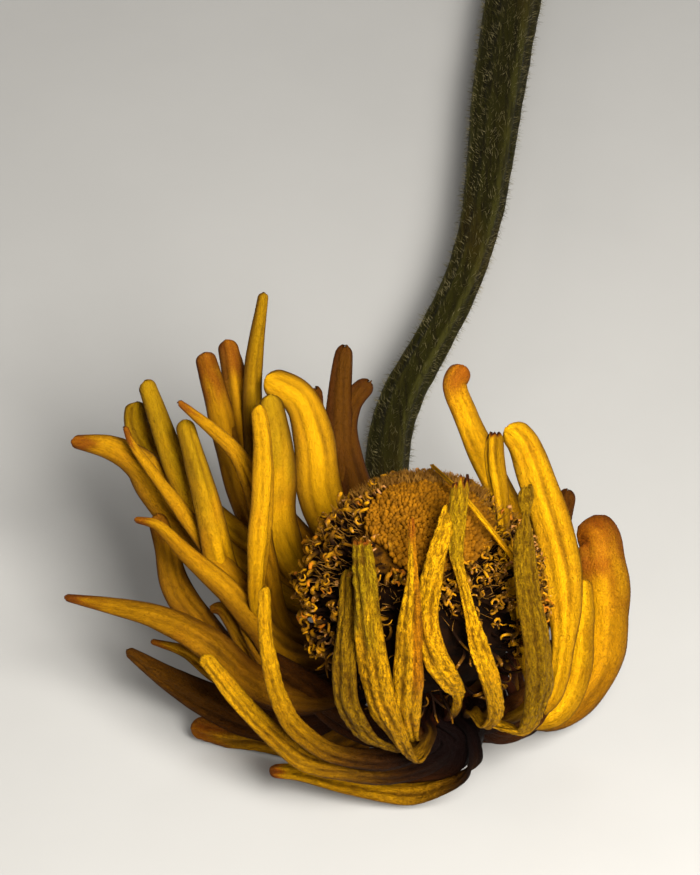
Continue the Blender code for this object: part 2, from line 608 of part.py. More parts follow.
def make_mound():
    """The cap of unopened florets on top of the dome, in the spiral that such a head grows in."""
    draw = random.Random(SEED + 1)
    mound = cap(CORE_RADIUS + 1.5 * GAP, MOUND_RADIUS - CAP_RISE, MOUND_EDGE)
    buds = []
    for i in range(BUD_COUNT):
        polar = (MOUND_EDGE - math.radians(3.0)) * math.sqrt((i + 0.5) / BUD_COUNT)
        buds.append(bud(ball_direction(polar, i * GOLDEN_ANGLE), draw))
    combine(mound, buds, "UNION")
    combine(mound, petal_room(), "DIFFERENCE")
    keep_largest(mound)
    finish(mound, "centre_florets")


def stem_radius(point):
    """The stem's radius at a point of its path, between the radii at the two listed points round it."""
    places = [y for x, y, z in STEM_POINTS]
    for k in range(len(places) - 1):
        if point.y <= places[k + 1]:
            share = max(point.y - places[k], 0.0) / (places[k + 1] - places[k])
            return STEM_RADII[k] + (STEM_RADII[k + 1] - STEM_RADII[k]) * share
    return STEM_RADII[-1]


def make_stem():
    """The ridged stem from the neck to its slanted cut."""
    path = smooth_path([Vector(p) for p in STEM_POINTS], STEM_STATIONS, STEM_EASE)
    rings = []
    for point, (side, normal) in zip(path, carried_frames(path, Vector((0.0, 1.0, 0.0)))):
        radius = stem_radius(point)
        ring = []
        for j in range(STEM_SIDES):
            angle = 2 * math.pi * j / STEM_SIDES
            reach = radius + STEM_RIDGE * (1 if j % 2 else -1)
            ring.append(point + side * (reach * math.cos(angle)) + normal * (reach * math.sin(angle)))
        rings.append(ring)
    along = (path[-1] - path[-2]).normalized()
    rings[-1] = [p + along * (CUT_SLANT * (p.x - path[-1].x)) for p in rings[-1]]
    stem = loft("stem", rings)
    combine(stem, [table_block()], "DIFFERENCE")
    keep_largest(stem)
    finish(stem, "stem")


def main():
    start_empty()
    make_petals()
    make_calyx()
    make_florets()
    make_mound()
    make_stem()


main()
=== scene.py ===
"""A dried daisy on a long cut stem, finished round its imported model.

Each flower part has its own operator in the sidebar's Dried Daisy panel. Lengths in the property groups are
in metres. Lists of points are in millimetres from the place on the table under the middle of the calyx's rim,
and so is every length in a petal's, a floret's or the stem's own code.
"""
import json
import math
import random
from collections import namedtuple
from contextlib import contextmanager

import bmesh
import bpy
from bpy.props import FloatProperty, FloatVectorProperty, IntProperty, PointerProperty
from mathutils import Matrix, Vector, noise
from mathutils.bvhtree import BVHTree

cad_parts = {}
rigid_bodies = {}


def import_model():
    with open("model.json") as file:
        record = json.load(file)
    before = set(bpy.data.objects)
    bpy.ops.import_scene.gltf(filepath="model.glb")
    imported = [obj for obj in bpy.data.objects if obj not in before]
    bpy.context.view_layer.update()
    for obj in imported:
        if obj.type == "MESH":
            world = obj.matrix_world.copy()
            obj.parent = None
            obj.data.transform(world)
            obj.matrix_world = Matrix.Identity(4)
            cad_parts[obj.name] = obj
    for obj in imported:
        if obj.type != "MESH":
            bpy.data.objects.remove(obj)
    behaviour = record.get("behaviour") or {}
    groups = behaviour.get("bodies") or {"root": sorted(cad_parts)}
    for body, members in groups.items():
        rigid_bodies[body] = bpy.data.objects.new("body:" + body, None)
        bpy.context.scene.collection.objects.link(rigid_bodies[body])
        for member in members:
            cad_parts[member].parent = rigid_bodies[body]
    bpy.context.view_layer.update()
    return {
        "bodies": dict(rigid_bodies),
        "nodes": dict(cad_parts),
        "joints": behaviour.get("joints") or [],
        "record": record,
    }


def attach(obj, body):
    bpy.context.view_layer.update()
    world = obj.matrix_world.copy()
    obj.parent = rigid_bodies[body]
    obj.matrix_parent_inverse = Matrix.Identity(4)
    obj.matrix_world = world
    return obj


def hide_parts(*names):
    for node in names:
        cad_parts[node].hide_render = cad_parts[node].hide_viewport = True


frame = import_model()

bl_info = {
    "name": "Dried Daisy",
    "version": (1, 0, 0),
    "blender": (4, 5, 0),
    "location": "View3D > Sidebar > Dried Daisy",
    "description": "Finishes a dried daisy: petals, florets, calyx, stem and stage",
    "category": "Object",
}

MM = 0.001

# The head on the table, as in the part
HEAD_X = 9.9
HEAD_Y = -59.4
HEAD_PLACE = Vector((HEAD_X, HEAD_Y, 0.0))
RIM_HEIGHT = 13.0
LEAN_FORWARD = math.radians(10.0)
LEAN_LEFT = math.radians(6.0)
ROOT_RADII = (5.3, 7.2)
ROOT_RISE = 0.5
TABLE_GAP = 0.04
RING_SIDES = 72

# The calyx: its cup as radii and heights from the rim, the inside that closes it, and its rows of bracts,
# each with how many it has, the heights of their roots and tips, and their width
CUP_PROFILE = [(2.1, -7.0), (3.0, -6.2), (4.6, -4.4), (5.5, -2.4), (5.9, -0.4)]
CUP_FOOT = (0.15, -7.2)
CUP_FLOOR = [(4.2, -0.35), (0.15, -0.35)]
BRACT_ROWS = [(13, -6.4, -2.6, 1.7), (17, -5.2, -1.2, 1.7), (21, -3.8, -0.2, 1.6)]
BRACT_COLUMNS = 7
BRACT_STATIONS = 12
BRACT_THICKNESS = 0.3

# The ball of florets, and the angle that turns each next floret of a spiral
BALL_CENTRE = Vector((-2.5, -0.9, 23.3))
BALL_DEPTH = 0.92
BALL_RADIUS = 13.3
GOLDEN = math.pi * (3.0 - math.sqrt(5.0))

# Where florets and pappus stand on the ball, as angles from its top, with the pappus's band in degrees
OPENED_BAND = (math.radians(24.0), math.radians(150.0))
PAPPUS_BAND = (30.0, 62.0)
PAPPUS_EDGE = math.radians(60.0)
MOUND_ANGLE = math.radians(38.0)

# How far out they reach, how deep their shapes are set in and how far they keep from the petals
MOUND_RADIUS = 12.0
PAPPUS_RADIUS = 12.7
OPENED_SUNK = 0.3
OPENED_UNEVEN = 0.9
OPENED_SET = 0.85
BUD_SET = 0.75
BRISTLE_SET = 1.1
FLORET_ROOM = 0.8
PAPPUS_ROOM = 0.6

# The least reach that leaves room for an opened floret, and where a probe for petals starts and ends
LEAST_REACH = 8.4
PROBE_START = 7.0
PROBE_PAST = 3.0

# How their sizes vary, how far their aims stray from straight out, and how many shapes they share
OPENED_SIZES = (0.65, 1.0)
BUD_SIZES = (0.75, 1.1)
BRISTLE_SIZES = (0.7, 1.3)
OPENED_STRAY = 0.4
BUD_STRAY = 0.3
BRISTLE_STRAY = 0.5
BUD_SHAPES = 4
BRISTLE_SHAPES = 4

# The beds under the florets: the band of the ball, its radius, and the neck down to the calyx
OPENED_BED = (math.radians(30.0), math.radians(140.0), 9.9, ((4.3, 3.4), (4.1, 1.2), (4.1, 0.1)))
MOUND_BED = (math.radians(0.5), MOUND_ANGLE, 11.1, ())
BED_BANDS = 34

# The side from which the faces of a floret's tubes are counted
TUBE_OUTSIDE = Vector((1.0, 0.3, 0.1))

# The first seed of each kind of piece, to which a piece's number is added
SEEDS = {"petal": 100, "horn": 200, "curled": 300, "strand": 400, "strip": 450, "bud": 500, "bristle": 600,
         "bract": 700, "opened": 21, "mound": 22, "pappus": 23}

# The stem: the points that it passes and its radius at each
STEM_RADII = [1.95, 1.95, 2.0, 2.1, 2.2, 2.3, 2.3, 2.2, 2.05, 2.0, 2.1, 2.4, 3.0, 3.3, 3.4]
STEM_POINTS = [(0.8, 1.3, 5.8), (0.9, 1.6, 4.8), (0.9, 3.2, 3.2), (0, 7.5, 2.8), (-2.6, 16, 3.2),
               (-5.1, 28, 3.9), (-5.4, 38, 4.4), (-3.7, 46, 4.8), (-0.8, 53, 5.2), (2.3, 61, 5.5),
               (4.5, 69, 5.6), (6, 78, 5.4), (8, 97, 4.6), (10.5, 117, 3.7), (12.5, 131, 3.2)]
STEM_STATIONS = 160
STEM_CROWD = -0.3

# The stem's skin and hairs, with their lengths and the skin's least height in metres
LEAST_HEIGHT = 0.00002
STEM_SKIN = {"Stations": 420, "Sides": 56, "Ridges": 7.0, "Ridge Height": 0.07, "Wrinkle": 0.00030}
STEM_HAIR = {"Width": 0.000026, "Lean": 0.6, "Seed": 5}

# The broad ridges under the stem's fine ones, with their share of the height, and how close its wrinkles are
BROAD_RIDGES = 3.0
BROAD_SHARE = 0.45
WRINKLE_SCALE = (900.0, 260.0, 900.0)

# The stem's cut end: its slant, the steps from its edge into the pith, each with its width and depth, and how
# rough and how fine the pith is
CUT_SLANT = 0.6
CUT_STEPS = ((0.25, 0.0), (0.12, -0.2), (0.4, -0.15), (0.5, 0.06), (0.4, -0.1))
CUT_ROUGHNESS = 0.12
CUT_GRAIN = 2500.0

# The stage, in metres, with each soft light's power, width, place and colour
FLOOR_REACH = 3.0
FLOOR_DROP = 0.0002
LIGHTS = {"key_light": (1.47, 0.13, (0.085, -0.20, 0.21), (1.0, 0.97, 0.92)),
          "side_light": (0.35, 0.30, (-0.42, -0.12, 0.24), (1.0, 0.95, 0.88)),
          "back_light": (0.6, 0.35, (0.10, 0.45, 0.40), (1.0, 0.98, 0.95))}
SKY_COLOUR = (1.0, 0.99, 0.97, 1.0)
SKY_STRENGTH = 0.13

# The height in the head that the lights face, in millimetres
LIT_HEIGHT = 20.0

# The camera, in millimetres: how far it stands off, how steeply it looks down, what it sees from bottom to
# top, its sensor, and how far left of the head and above the rim its middle is
CAMERA_DISTANCE = 400.0
CAMERA_ELEVATION = math.radians(45.0)
CAMERA_SPAN = 87.5
CAMERA_SENSOR = 36.0
CAMERA_LEFT = 9.5
CAMERA_RISE = 22.25

# The petals: root angle on the rim in degrees (0 right, 90 back, -90 front), width, how strongly its broad
# side turns to the front, under 0 where that is its outer side, the way that it dried, and the points that it
# passes from its root to its tip
Petal = namedtuple("Petal", "angle width turn drying points")
FRONT_SIDE = Vector((0.0, -0.7, 0.7))
ROOT_WIDTH = 1.1
FRONT_PETALS = [
    (-122, 2.7, -2, "dull", [(-3.6, -9.5, 10.5), (-7.4, -12, 14.5), (-9.8, -12.5, 20),
                             (-10.2, -11.5, 24.5), (-9.8, -9, 29), (-9.6, -5.5, 32)]),
    (-108, 3.3, -2, "green", [(-1.5, -9, 12), (-3.5, -11, 11), (-6.4, -12.5, 19.5), (-7.6, -12, 27),
                              (-8.1, -9.5, 32), (-8.6, -5, 35.5)]),
    (-98, 3.0, -2, "split", [(-3.2, -9.5, 12), (-3.9, -12, 17), (-4, -12.8, 22.8), (-3.9, -12.2, 29.2),
                             (-3.6, -9.6, 34.6), (-3.7, -4.4, 37.9)]),
    (-88, 2.5, -2, "gold", [(1, -9, 16), (0.9, -11, 20.5), (-0.3, -12.5, 24.5), (-1.5, -12.5, 27.5),
                            (-2.3, -11, 31), (-1.7, -8.7, 35.2), (0.2, -3, 38.5)]),
    (-72, 2.0, -2, "frayed", [(2.5, -9, 15.5), (3.8, -11, 15.5), (4.7, -12, 18.5), (4.1, -12.5, 23.5),
                             (2.7, -11.5, 28.5), (1.4, -9, 33), (0.6, -6, 36), (1.1, -2, 40.5)]),
    (-58, 3.1, -2, "moss", [(3.5, -9, 14.5), (6, -10.5, 14.5), (7.8, -11, 15), (8.8, -11.5, 20),
                            (8.7, -11, 26), (7.8, -9, 31.5), (7.2, -6, 36), (7.3, -3, 41)]),
]
RIGHT_PETALS = [
    (-45, 2.4, 1, "open", [(5.5, -6, 11), (8, -7.5, 15), (7.5, -7, 21.5), (6.5, -5, 27.5), (5.5, -1, 30),
                           (5, 4, 32), (4.5, 8, 33.5), (4.5, 10.5, 34.5)]),
    (-28, 4.4, 1, "broad", [(8, -4, 9.5), (10.5, -3.5, 11.5), (11.5, -1.5, 16), (11.5, 1.5, 21),
                            (10.6, 5.5, 25.5), (8.9, 9.5, 29), (7.6, 12, 31.5), (6, 13.5, 32.5)]),
    (22, 2.9, 1, "ember", [(10, 5.5, 12), (9, 8.5, 18.5), (5.5, 12, 25), (3.5, 14.5, 28.5), (2, 17, 31),
                           (1, 19, 33), (2, 20.5, 34)]),
    (-5, 5.6, 2, "blaze", [(8.2, -0.5, 8), (10.5, 0.5, 4.5), (13.5, 1.5, 6.5), (15.5, 3, 11),
                           (16, 4.5, 17), (15.5, 6, 21), (15, 8, 22.5), (13.5, 10, 22)]),
    (-16, 3.2, 2, "broad", [(7.5, -2, 7.5), (11, -2, 7.5), (13, 0, 10.5), (13.5, 1.5, 16),
                            (13.5, 3.5, 21)]),
    (-60, 1.7, 0, "brown", [(3.2, -6.8, 9), (2.8, -4, 3.5), (3, -0.5, 1.3), (5, 0.2, 0.4),
                            (7.5, 0.5, 0.2), (9.5, 1.4, 0.6), (10.7, 2.4, 1.8)]),
    (38, 3.2, 1, "brown", [(7.5, 8, 13), (10.5, 11, 16), (12, 14, 20), (12.5, 15.5, 21.5)]),
    (70, 3.0, 1, "brown", [(2, 11, 16), (2.5, 15, 19), (2.5, 17.5, 21)]),
    (-10, 1.2, 1, "gold", [(9.5, -2, 14.5), (9.2, -7, 26), (7, -5.5, 31.5), (5.5, -4.5, 33.5),
                           (3, -2.1, 35.6), (1, 0.8, 36.2), (-1.5, 7, 33.5)]),
]
LOW_PETALS = [
    (-66, 3.0, 1, "brown", [(3, -6.5, 10.5), (5.5, -6, 11.5), (8, -5, 12.5), (9.5, -3.5, 14.5)]),
    (-95, 3.2, 1, "brown", [(1.8, -7.5, 10.5), (1.6, -8, 7), (-0.5, -7.5, 4.2), (-4.5, -7, 3.2),
                            (-9, -6, 3.6), (-13, -5, 4.2)]),
    (-150, 4.4, 1, "brown", [(-4.5, -6.5, 11.5), (-6, -6.5, 9), (-10, -5, 9.8), (-14, -3, 12.2),
                             (-18, -1, 14.5)]),
    (-40, 3.4, 1, "brown", [(4.5, -6, 10.5), (5.5, -6, 9), (7.5, -5.5, 9), (9.3, -4.5, 10),
                            (10.2, -3.5, 11.5)]),
    (-80, 2.8, -2, "flame", [(2.5, -8, 11), (2.5, -9, 7), (-0.5, -8, 3.2), (-4, -7.6, 1.6),
                             (-9.5, -8, 3.4), (-14.5, -8, 5.2), (-17.5, -8, 5.5)]),
    (-116, 2.6, 1, "low", [(0.5, -8, 10), (-1.5, -9, 7.5), (-5.5, -10, 7), (-10, -10.5, 8.4),
                           (-14, -10, 9.3), (-17.5, -8.5, 11.9), (-20.5, -6.5, 14.3), (-24, -4, 18.1)]),
    (-130, 2.1, 1, "low", [(-1, -8, 10.5), (-3, -9, 9.5), (-6.5, -10.3, 9.8), (-11, -10.5, 11),
                           (-14.3, -10, 13.6), (-16, -9.3, 16.5), (-17, -8, 20), (-17.6, -6.3, 24),
                           (-17.7, -4, 28)]),
    (-158, 4.2, 1, "rust", [(-5.5, -6, 11.5), (-10.5, -3.5, 4), (-14.5, -2, 0.7), (-18.5, -0.8, 0.9),
                             (-23, -0.2, 1.9), (-25.7, 0.3, 2.4)]),
    (-172, 4.4, 1, "dark", [(-8.5, -3, 10.5), (-14.5, -1, 4.5), (-19, 0, 4), (-23, 1, 5), (-27.5, 2, 7.5),
                            (-32, 3, 11)]),
]
LEFT_PETALS = [
    (-166, 4.0, 1, "stale", [(-7.5, -4, 13), (-13.5, -4, 11.5), (-19, -3, 13.5), (-23.5, -1, 17),
                             (-28.5, 1.5, 18), (-33.5, 3, 18), (-38, 4, 18)]),
    (-176, 2.4, 1, "taper", [(-9.5, -1, 9.5), (-17.5, 0, 8.5), (-22.5, 1, 9.5), (-26, 2, 12),
                             (-29.5, 3, 12.5)]),
    (160, 5.2, 1, "taper", [(-7.5, 4, 14), (-16.5, 7, 15.5), (-23, 11, 18), (-28.5, 14, 22.5),
                            (-30.5, 15.5, 25), (-33.5, 16.5, 26.5), (-37.5, 17, 27)]),
    (168, 2.3, 1, "taper", [(-9.5, 3, 12.5), (-15.5, 4, 14.5), (-21, 6, 19), (-24.5, 9, 22),
                            (-27.5, 12, 24.5), (-31, 15.5, 27.5), (-32, 16.5, 29.5)]),
    (156, 3.1, 1, "soft", [(-8.5, 4, 14), (-15.5, 6, 15.5), (-23, 10, 19), (-25.5, 13, 23),
                           (-27.5, 16, 26.5), (-29, 19, 29.5), (-30, 20.5, 32)]),
    (150, 3.6, 1, "soft", [(-7.5, 5, 15), (-16.5, 9, 16.5), (-24.5, 14, 20), (-29, 18, 23), (-31, 20, 26),
                           (-31, 21, 28.5)]),
    (172, 2.7, 1, "taper", [(-9.5, 2, 14), (-15.5, 3, 14), (-18, 6.5, 21), (-18.5, 9.5, 25),
                            (-19.5, 12, 27), (-21.5, 14.5, 29), (-26.5, 16, 33.5)]),
    (164, 3.4, 1, "soft", [(-8.5, 3, 12.5), (-15.5, 4, 11.5), (-20, 5, 15.5), (-22, 6.5, 19),
                           (-23, 8.5, 23), (-24, 11.5, 25.5), (-26, 16.5, 30.5)]),
    (176, 3.2, 1, "clear", [(-9.5, 1, 13.5), (-16, 1.5, 13), (-18.5, 2, 18), (-18.5, 4, 22.5),
                            (-18, 8, 27.5), (-18, 13, 31), (-18.5, 15.5, 33.5)]),
    (180, 2.8, 1, "taper", [(-10, 0, 12.5), (-15.5, 0, 13.5), (-18.5, 1, 17), (-21.5, 3, 20),
                            (-25.5, 6, 22), (-28.5, 8.5, 23.5), (-31, 9.5, 23.5)]),
    (184, 3.8, 1, "amber", [(-9.5, -1, 12), (-16.5, 0, 7.5), (-21, 2, 10), (-24.5, 4, 14), (-27, 7, 16.5),
                            (-28, 10, 19), (-29, 12, 21.5)]),
    (190, 2.4, 1, "amber", [(-9.5, -2, 12), (-14.5, -2, 9), (-17.5, -1, 11), (-20, 1, 14.5), (-22, 3, 17),
                            (-23.5, 4, 16.5)]),
    (187, 2.5, 1, "amber", [(-9.5, -1.5, 11.5), (-14.5, -1.5, 10), (-17, -1, 12.5), (-19.5, 1, 16.5),
                            (-20.5, 3, 18.5)]),
]
BACK_PETALS = [
    (140, 3.4, 1, "rust", [(-6.5, 7, 14.5), (-14.5, 10, 16), (-19.2, 14, 18.5), (-21.6, 19, 23.5),
                           (-23, 22, 28), (-24.2, 24, 32.5)]),
    (132, 3.5, 1, "rust", [(-5.5, 7, 15), (-12.5, 11, 16.5), (-18, 15, 20), (-20, 19.5, 24.5),
                           (-21, 23.5, 28.5), (-22, 26.5, 32)]),
    (146, 2.7, 1, "point", [(-7, 6, 14), (-14, 10, 15.5), (-18, 16, 21), (-19.1, 20, 25.5),
                            (-19.2, 23.5, 30.5), (-18.1, 27, 38)]),
    (138, 3.8, 1, "soft", [(-6.5, 6, 14.5), (-13.5, 8, 16), (-16.5, 10.5, 21), (-16.5, 14.5, 27),
                           (-17.5, 19, 31.5)]),
    (124, 4.8, 1, "clear", [(-5, 8, 14.5), (-10.5, 11.5, 18.5), (-12.5, 14.5, 22.5), (-13, 17.5, 26.5),
                            (-14.5, 20.5, 29.5), (-18, 22, 31)]),
    (112, 3.4, 1, "bronze", [(-4.5, 9, 15), (-9.5, 14, 18.5), (-10.5, 19, 23.5), (-10.5, 23, 27),
                            (-10, 27, 30.5)]),
    (106, 3.6, 1, "bronze", [(-3.5, 10, 15.5), (-8, 15, 20), (-10, 20, 24), (-9.5, 23, 26),
                            (-7.5, 25, 27.5)]),
    (118, 3.0, 1, "bronze", [(-5, 9, 14.5), (-10, 13, 18), (-12, 17, 23), (-13, 20.5, 25),
                            (-13, 23, 28.5)]),
]

# The petals behind the head: root angle, and how far out and how high each reaches
HIDDEN_PETALS = [(8, 14.5, 9), (30, 18, 8), (48, 20, 11), (60, 19, 12), (82, 19, 15), (96, 20, 14),
                 (100, 17, 19)]
HIDDEN_WIDTH = 2.4

# How each way of drying leaves a petal, with the painted shade that each kind is given: its olive share and
# where that starts along it, its scorched share and where that starts, its amber share, how far its edges
# roll in, in degrees, its tip's share of its width, how deep the tip's teeth are, how far along the dark of
# the root reaches, which on the low petals is drawn out as painted shade, and how much painted shade darkens
# it at its root and at its tip
Drying = namedtuple("Drying", "olive olive_from ember ember_from amber roll tip teeth root_reach"
                              " dim_root dim_tip")
DRYING = {
    "gold": (0.06, 0.60, 0.25, 0.90, 0.03, 80, 0.60, 0.2, 0.26, 0.10, 0.00),
    "dull": (0.60, 0.00, 0.10, 0.90, 0.25, 76, 0.60, 0.4, 0.24, 0.62, 0.45),
    "green": (0.85, 0.64, 0.80, 0.985, 0.00, 84, 0.62, 0.9, 0.20, 0.75, 0.10),
    "frayed": (0.70, 0.66, 1.00, 0.985, 0.00, 84, 1.00, 1.0, 0.20, 0.60, 0.00),
    "moss": (0.60, 0.15, 0.15, 0.93, 0.05, 84, 0.58, 0.6, 0.20, 0.25, 0.45),
    "open": (0.15, 0.80, 1.00, 0.985, 0.00, 88, 0.95, 0.7, 0.26, 0.30, 0.10),
    "split": (0.10, 0.50, 0.70, 0.90, 0.03, 84, 0.22, 0.4, 0.24, 0.10, 0.00),
    "broad": (0.06, 0.45, 0.06, 0.90, 0.04, 62, 0.66, 0.1, 0.26, 0.35, 0.00),
    "soft": (0.60, 0.62, 0.06, 0.90, 0.04, 62, 0.60, 0.1, 0.26, 0.60, 0.30),
    "clear": (0.06, 0.60, 0.06, 0.90, 0.02, 62, 0.60, 0.1, 0.30, 0.45, 0.24),
    "taper": (0.06, 0.50, 0.80, 0.90, 0.25, 64, 0.24, 0.1, 0.40, 0.60, 0.40),
    "stale": (0.06, 0.50, 0.90, 0.86, 0.28, 64, 0.20, 0.1, 0.40, 0.80, 0.58),
    "point": (0.45, 0.10, 0.00, 0.90, 0.05, 66, 0.42, 0.1, 0.26, 0.60, 0.50),
    "ember": (0.06, 0.50, 0.85, 0.80, 0.20, 66, 0.80, 0.1, 0.34, 0.45, 0.05),
    "blaze": (0.06, 0.50, 0.85, 0.60, 0.30, 66, 0.80, 0.1, 0.34, 0.45, 0.05),
    "rust": (0.06, 0.50, 0.75, 0.76, 0.30, 66, 0.60, 0.1, 0.34, 0.72, 0.45),
    "low": (0.10, 0.50, 0.10, 0.90, 0.12, 78, 0.60, 0.1, 0.58, 0.97, 0.10),
    "flame": (0.05, 0.50, 0.95, 0.93, 0.15, 76, 0.50, 0.1, 0.50, 0.92, 0.00),
    "amber": (0.08, 0.40, 0.60, 0.88, 0.35, 64, 0.50, 0.2, 0.50, 0.90, 0.60),
    "dark": (0.20, 0.30, 0.30, 0.90, 0.50, 66, 0.22, 0.2, 0.50, 0.95, 0.88),
    "bronze": (0.15, 0.30, 0.40, 0.90, 0.36, 74, 0.50, 0.3, 0.28, 0.15, 0.94),
    "brown": (0.20, 0.30, 0.40, 0.90, 0.60, 74, 0.50, 0.3, 0.70, 0.96, 0.92),
}
PETAL_VALUES = ("relief", "olive", "ember", "amber", "root", "dim", "detail")

# How much closer a petal's rows stand at its tip, and how wide the surface map is for a petal and for a side
PETAL_CROWD = 0.45
SURFACE_STRIP = 14.0
SURFACE_INNER = 7.0

# The petals that are pinched or broadened somewhere: by root angle, where along, over what length and to what
# share of the width
WAISTS = {-122: (0.30, 0.14, 0.55), -98: (0.88, 0.10, 0.6), -88: (0.24, 0.10, 0.35), -72: (0.72, 0.13, 0.5),
          -58: (0.92, 0.03, 0.4), -45: (0.72, 0.12, 0.75), -28: (0.38, 0.14, 0.6), 176: (0.42, 0.18, 0.55),
          -80: (0.20, 0.11, 1.5), -95: (0.22, 0.13, 2.4), -116: (0.18, 0.10, 2.4), -130: (0.28, 0.10, 1.6),
          180: (0.27, 0.13, 2.2), 187: (0.27, 0.13, 2.2), 190: (0.27, 0.13, 2.0)}

# The petal with an amber fold along one side: by root angle, how amber the fold is and where along it starts
AMBER_FOLD = {-98: (0.42, 0.35)}

# How much painted shade darkens a soft petal's rolled sides beside its crest
SIDE_DARK = 0.95

# The groups of petals, each one piece: places across a petal, places along it, and how sharp its surface is
PETAL_GROUPS = (("petals_front", FRONT_PETALS, 44, 160, 1.0), ("petals_right", RIGHT_PETALS, 30, 110, 0.45),
                ("petals_low", LOW_PETALS, 30, 110, 0.7), ("petals_left", LEFT_PETALS, 28, 100, 0.4),
                ("petals_back", BACK_PETALS, 28, 90, 0.3), ("petals_hidden", HIDDEN_PETALS, 16, 40, 0.15))


def size_property(name, description, value, least=0.0):
    """A length in metres that the sidebar can change."""
    return FloatProperty(name=name, description=description, default=value, min=least, unit="LENGTH")


def count_property(name, description, value, least=1):
    """A number of pieces that the sidebar can change."""
    return IntProperty(name=name, description=description, default=value, min=least)


class DaisySizes(bpy.types.PropertyGroup):
    sheet: size_property("Petal sheet", "Thickness of a petal's dried tissue", 0.00032, 0.0001)
    rib: size_property("Petal ribs", "Height of the ribs along a petal", 0.00006)
    crease: size_property("Petal creases", "Height of the creases in a petal", 0.00022)
    ripple: size_property("Petal ripples", "Height of the ripples across a petal", 0.00009)
    floret_count: count_property("Opened florets", "Places for opened florets, some left empty", 950)
    bud_count: count_property("Unopened florets", "Places for unopened florets, some left empty", 1500)
    bristle_count: count_property("Pappus bristles", "How many bristles stand among the florets", 2600, 0)
    hair_density: FloatProperty(name="Stem hairs", description="Hairs on each square millimetre of the stem",
                                default=4.0, min=0.0)
    hair_length: size_property("Hair length", "Length of the stem's hairs", 0.00075)


def colour_property(name, value):
    """A colour that the sidebar can change."""
    return FloatVectorProperty(name=name, description=name + " of the dried flower", subtype="COLOR", size=3,
                               default=value, min=0.0, max=1.0)


class DaisyColours(bpy.types.PropertyGroup):
    gold: colour_property("Golden tissue", (0.94, 0.46, 0.002))
    amber: colour_property("Amber tissue", (0.62, 0.19, 0.002))
    olive: colour_property("Olive tissue", (0.34, 0.22, 0.002))
    # Umber: dark brown tissue, and the painted shade in furrows and hollows
    umber: colour_property("Furrows and hollows", (0.13, 0.048, 0.001))
    # The colour that painted shade multiplies petals towards, by their dim value
    shadow: colour_property("Darkening of old petals", (0.07, 0.035, 0.02))
    ember: colour_property("Scorched tips", (0.30, 0.06, 0.003))
    root: colour_property("Petal roots", (0.045, 0.009, 0.002))
    floret: colour_property("Opened florets", (0.58, 0.25, 0.003))
    floret_dark: colour_property("Shaded florets", (0.012, 0.004, 0.001))
    mouth: colour_property("Withered floret mouths", (0.42, 0.10, 0.006))
    speck: colour_property("Pollen and stigma specks", (0.46, 0.23, 0.08))
    bud: colour_property("Unopened florets", (0.30, 0.115, 0.002))
    # The floret bed, nearly black as painted shade between the florets
    bed: colour_property("Floret bed", (0.004, 0.002, 0.001))
    pappus: colour_property("Pappus", (0.30, 0.14, 0.02))
    pappus_shade: colour_property("Shaded pappus", (0.12, 0.045, 0.004))
    calyx: colour_property("Bracts", (0.06, 0.034, 0.004))
    stem: colour_property("Stem", (0.017, 0.015, 0.001))
    stem_pale: colour_property("Stem ridges", (0.046, 0.042, 0.007))
    pith: colour_property("Pith at the cut", (0.34, 0.25, 0.11))
    hair: colour_property("Stem hairs", (0.30, 0.25, 0.12))
    floor: colour_property("Floor", (0.49, 0.485, 0.47))


# Paths, frames and meshes

def draws(kind, number=0):
    """The random numbers of one piece, the same at every run."""
    return random.Random(SEEDS[kind] + number)


def step(low, high, value):
    """0 below low, 1 above high, smooth between."""
    t = min(max((value - low) / (high - low), 0.0), 1.0)
    return t * t * (3.0 - 2.0 * t)


def across(turn):
    """A level step of one millimetre in a direction."""
    return Vector((math.cos(turn), math.sin(turn), 0.0))


def upright(height):
    """A step straight up."""
    return Vector((0.0, 0.0, height))


def even(count):
    """Shares from 0 to 1 in even steps."""
    return [k / (count - 1) for k in range(count)]


def head_frame():
    """From the head's own axes, with its axis along Z from the middle of the rim, to the table's."""
    lean = Matrix.Rotation(LEAN_FORWARD, 4, "X") @ Matrix.Rotation(-LEAN_LEFT, 4, "Y")
    return Matrix.Translation((0.0, 0.0, RIM_HEIGHT)) @ lean


def head_ring(radius, height):
    """A ring of points round the head's axis, at a height from the rim."""
    frame_of_head = head_frame()
    ring = []
    for j in range(RING_SIDES):
        turn = 2 * math.pi * j / RING_SIDES
        ring.append(frame_of_head @ Vector((radius * math.cos(turn), radius * math.sin(turn), height)))
    return ring


def ball_step(polar, around):
    """A step from the middle of the ball to its surface, at radius 1."""
    deep = BALL_DEPTH * math.sin(polar) * math.sin(around)
    return Vector((math.sin(polar) * math.cos(around), deep, math.cos(polar)))


def curve_point(before, start, end, after, t):
    """A point on the smooth curve from start to end, which the points before and after them steer."""
    bend = 2 * before - 5 * start + 4 * end - after
    twist = 3 * start - before - 3 * end + after
    return 0.5 * (2 * start + (end - before) * t + bend * t * t + twist * t ** 3)


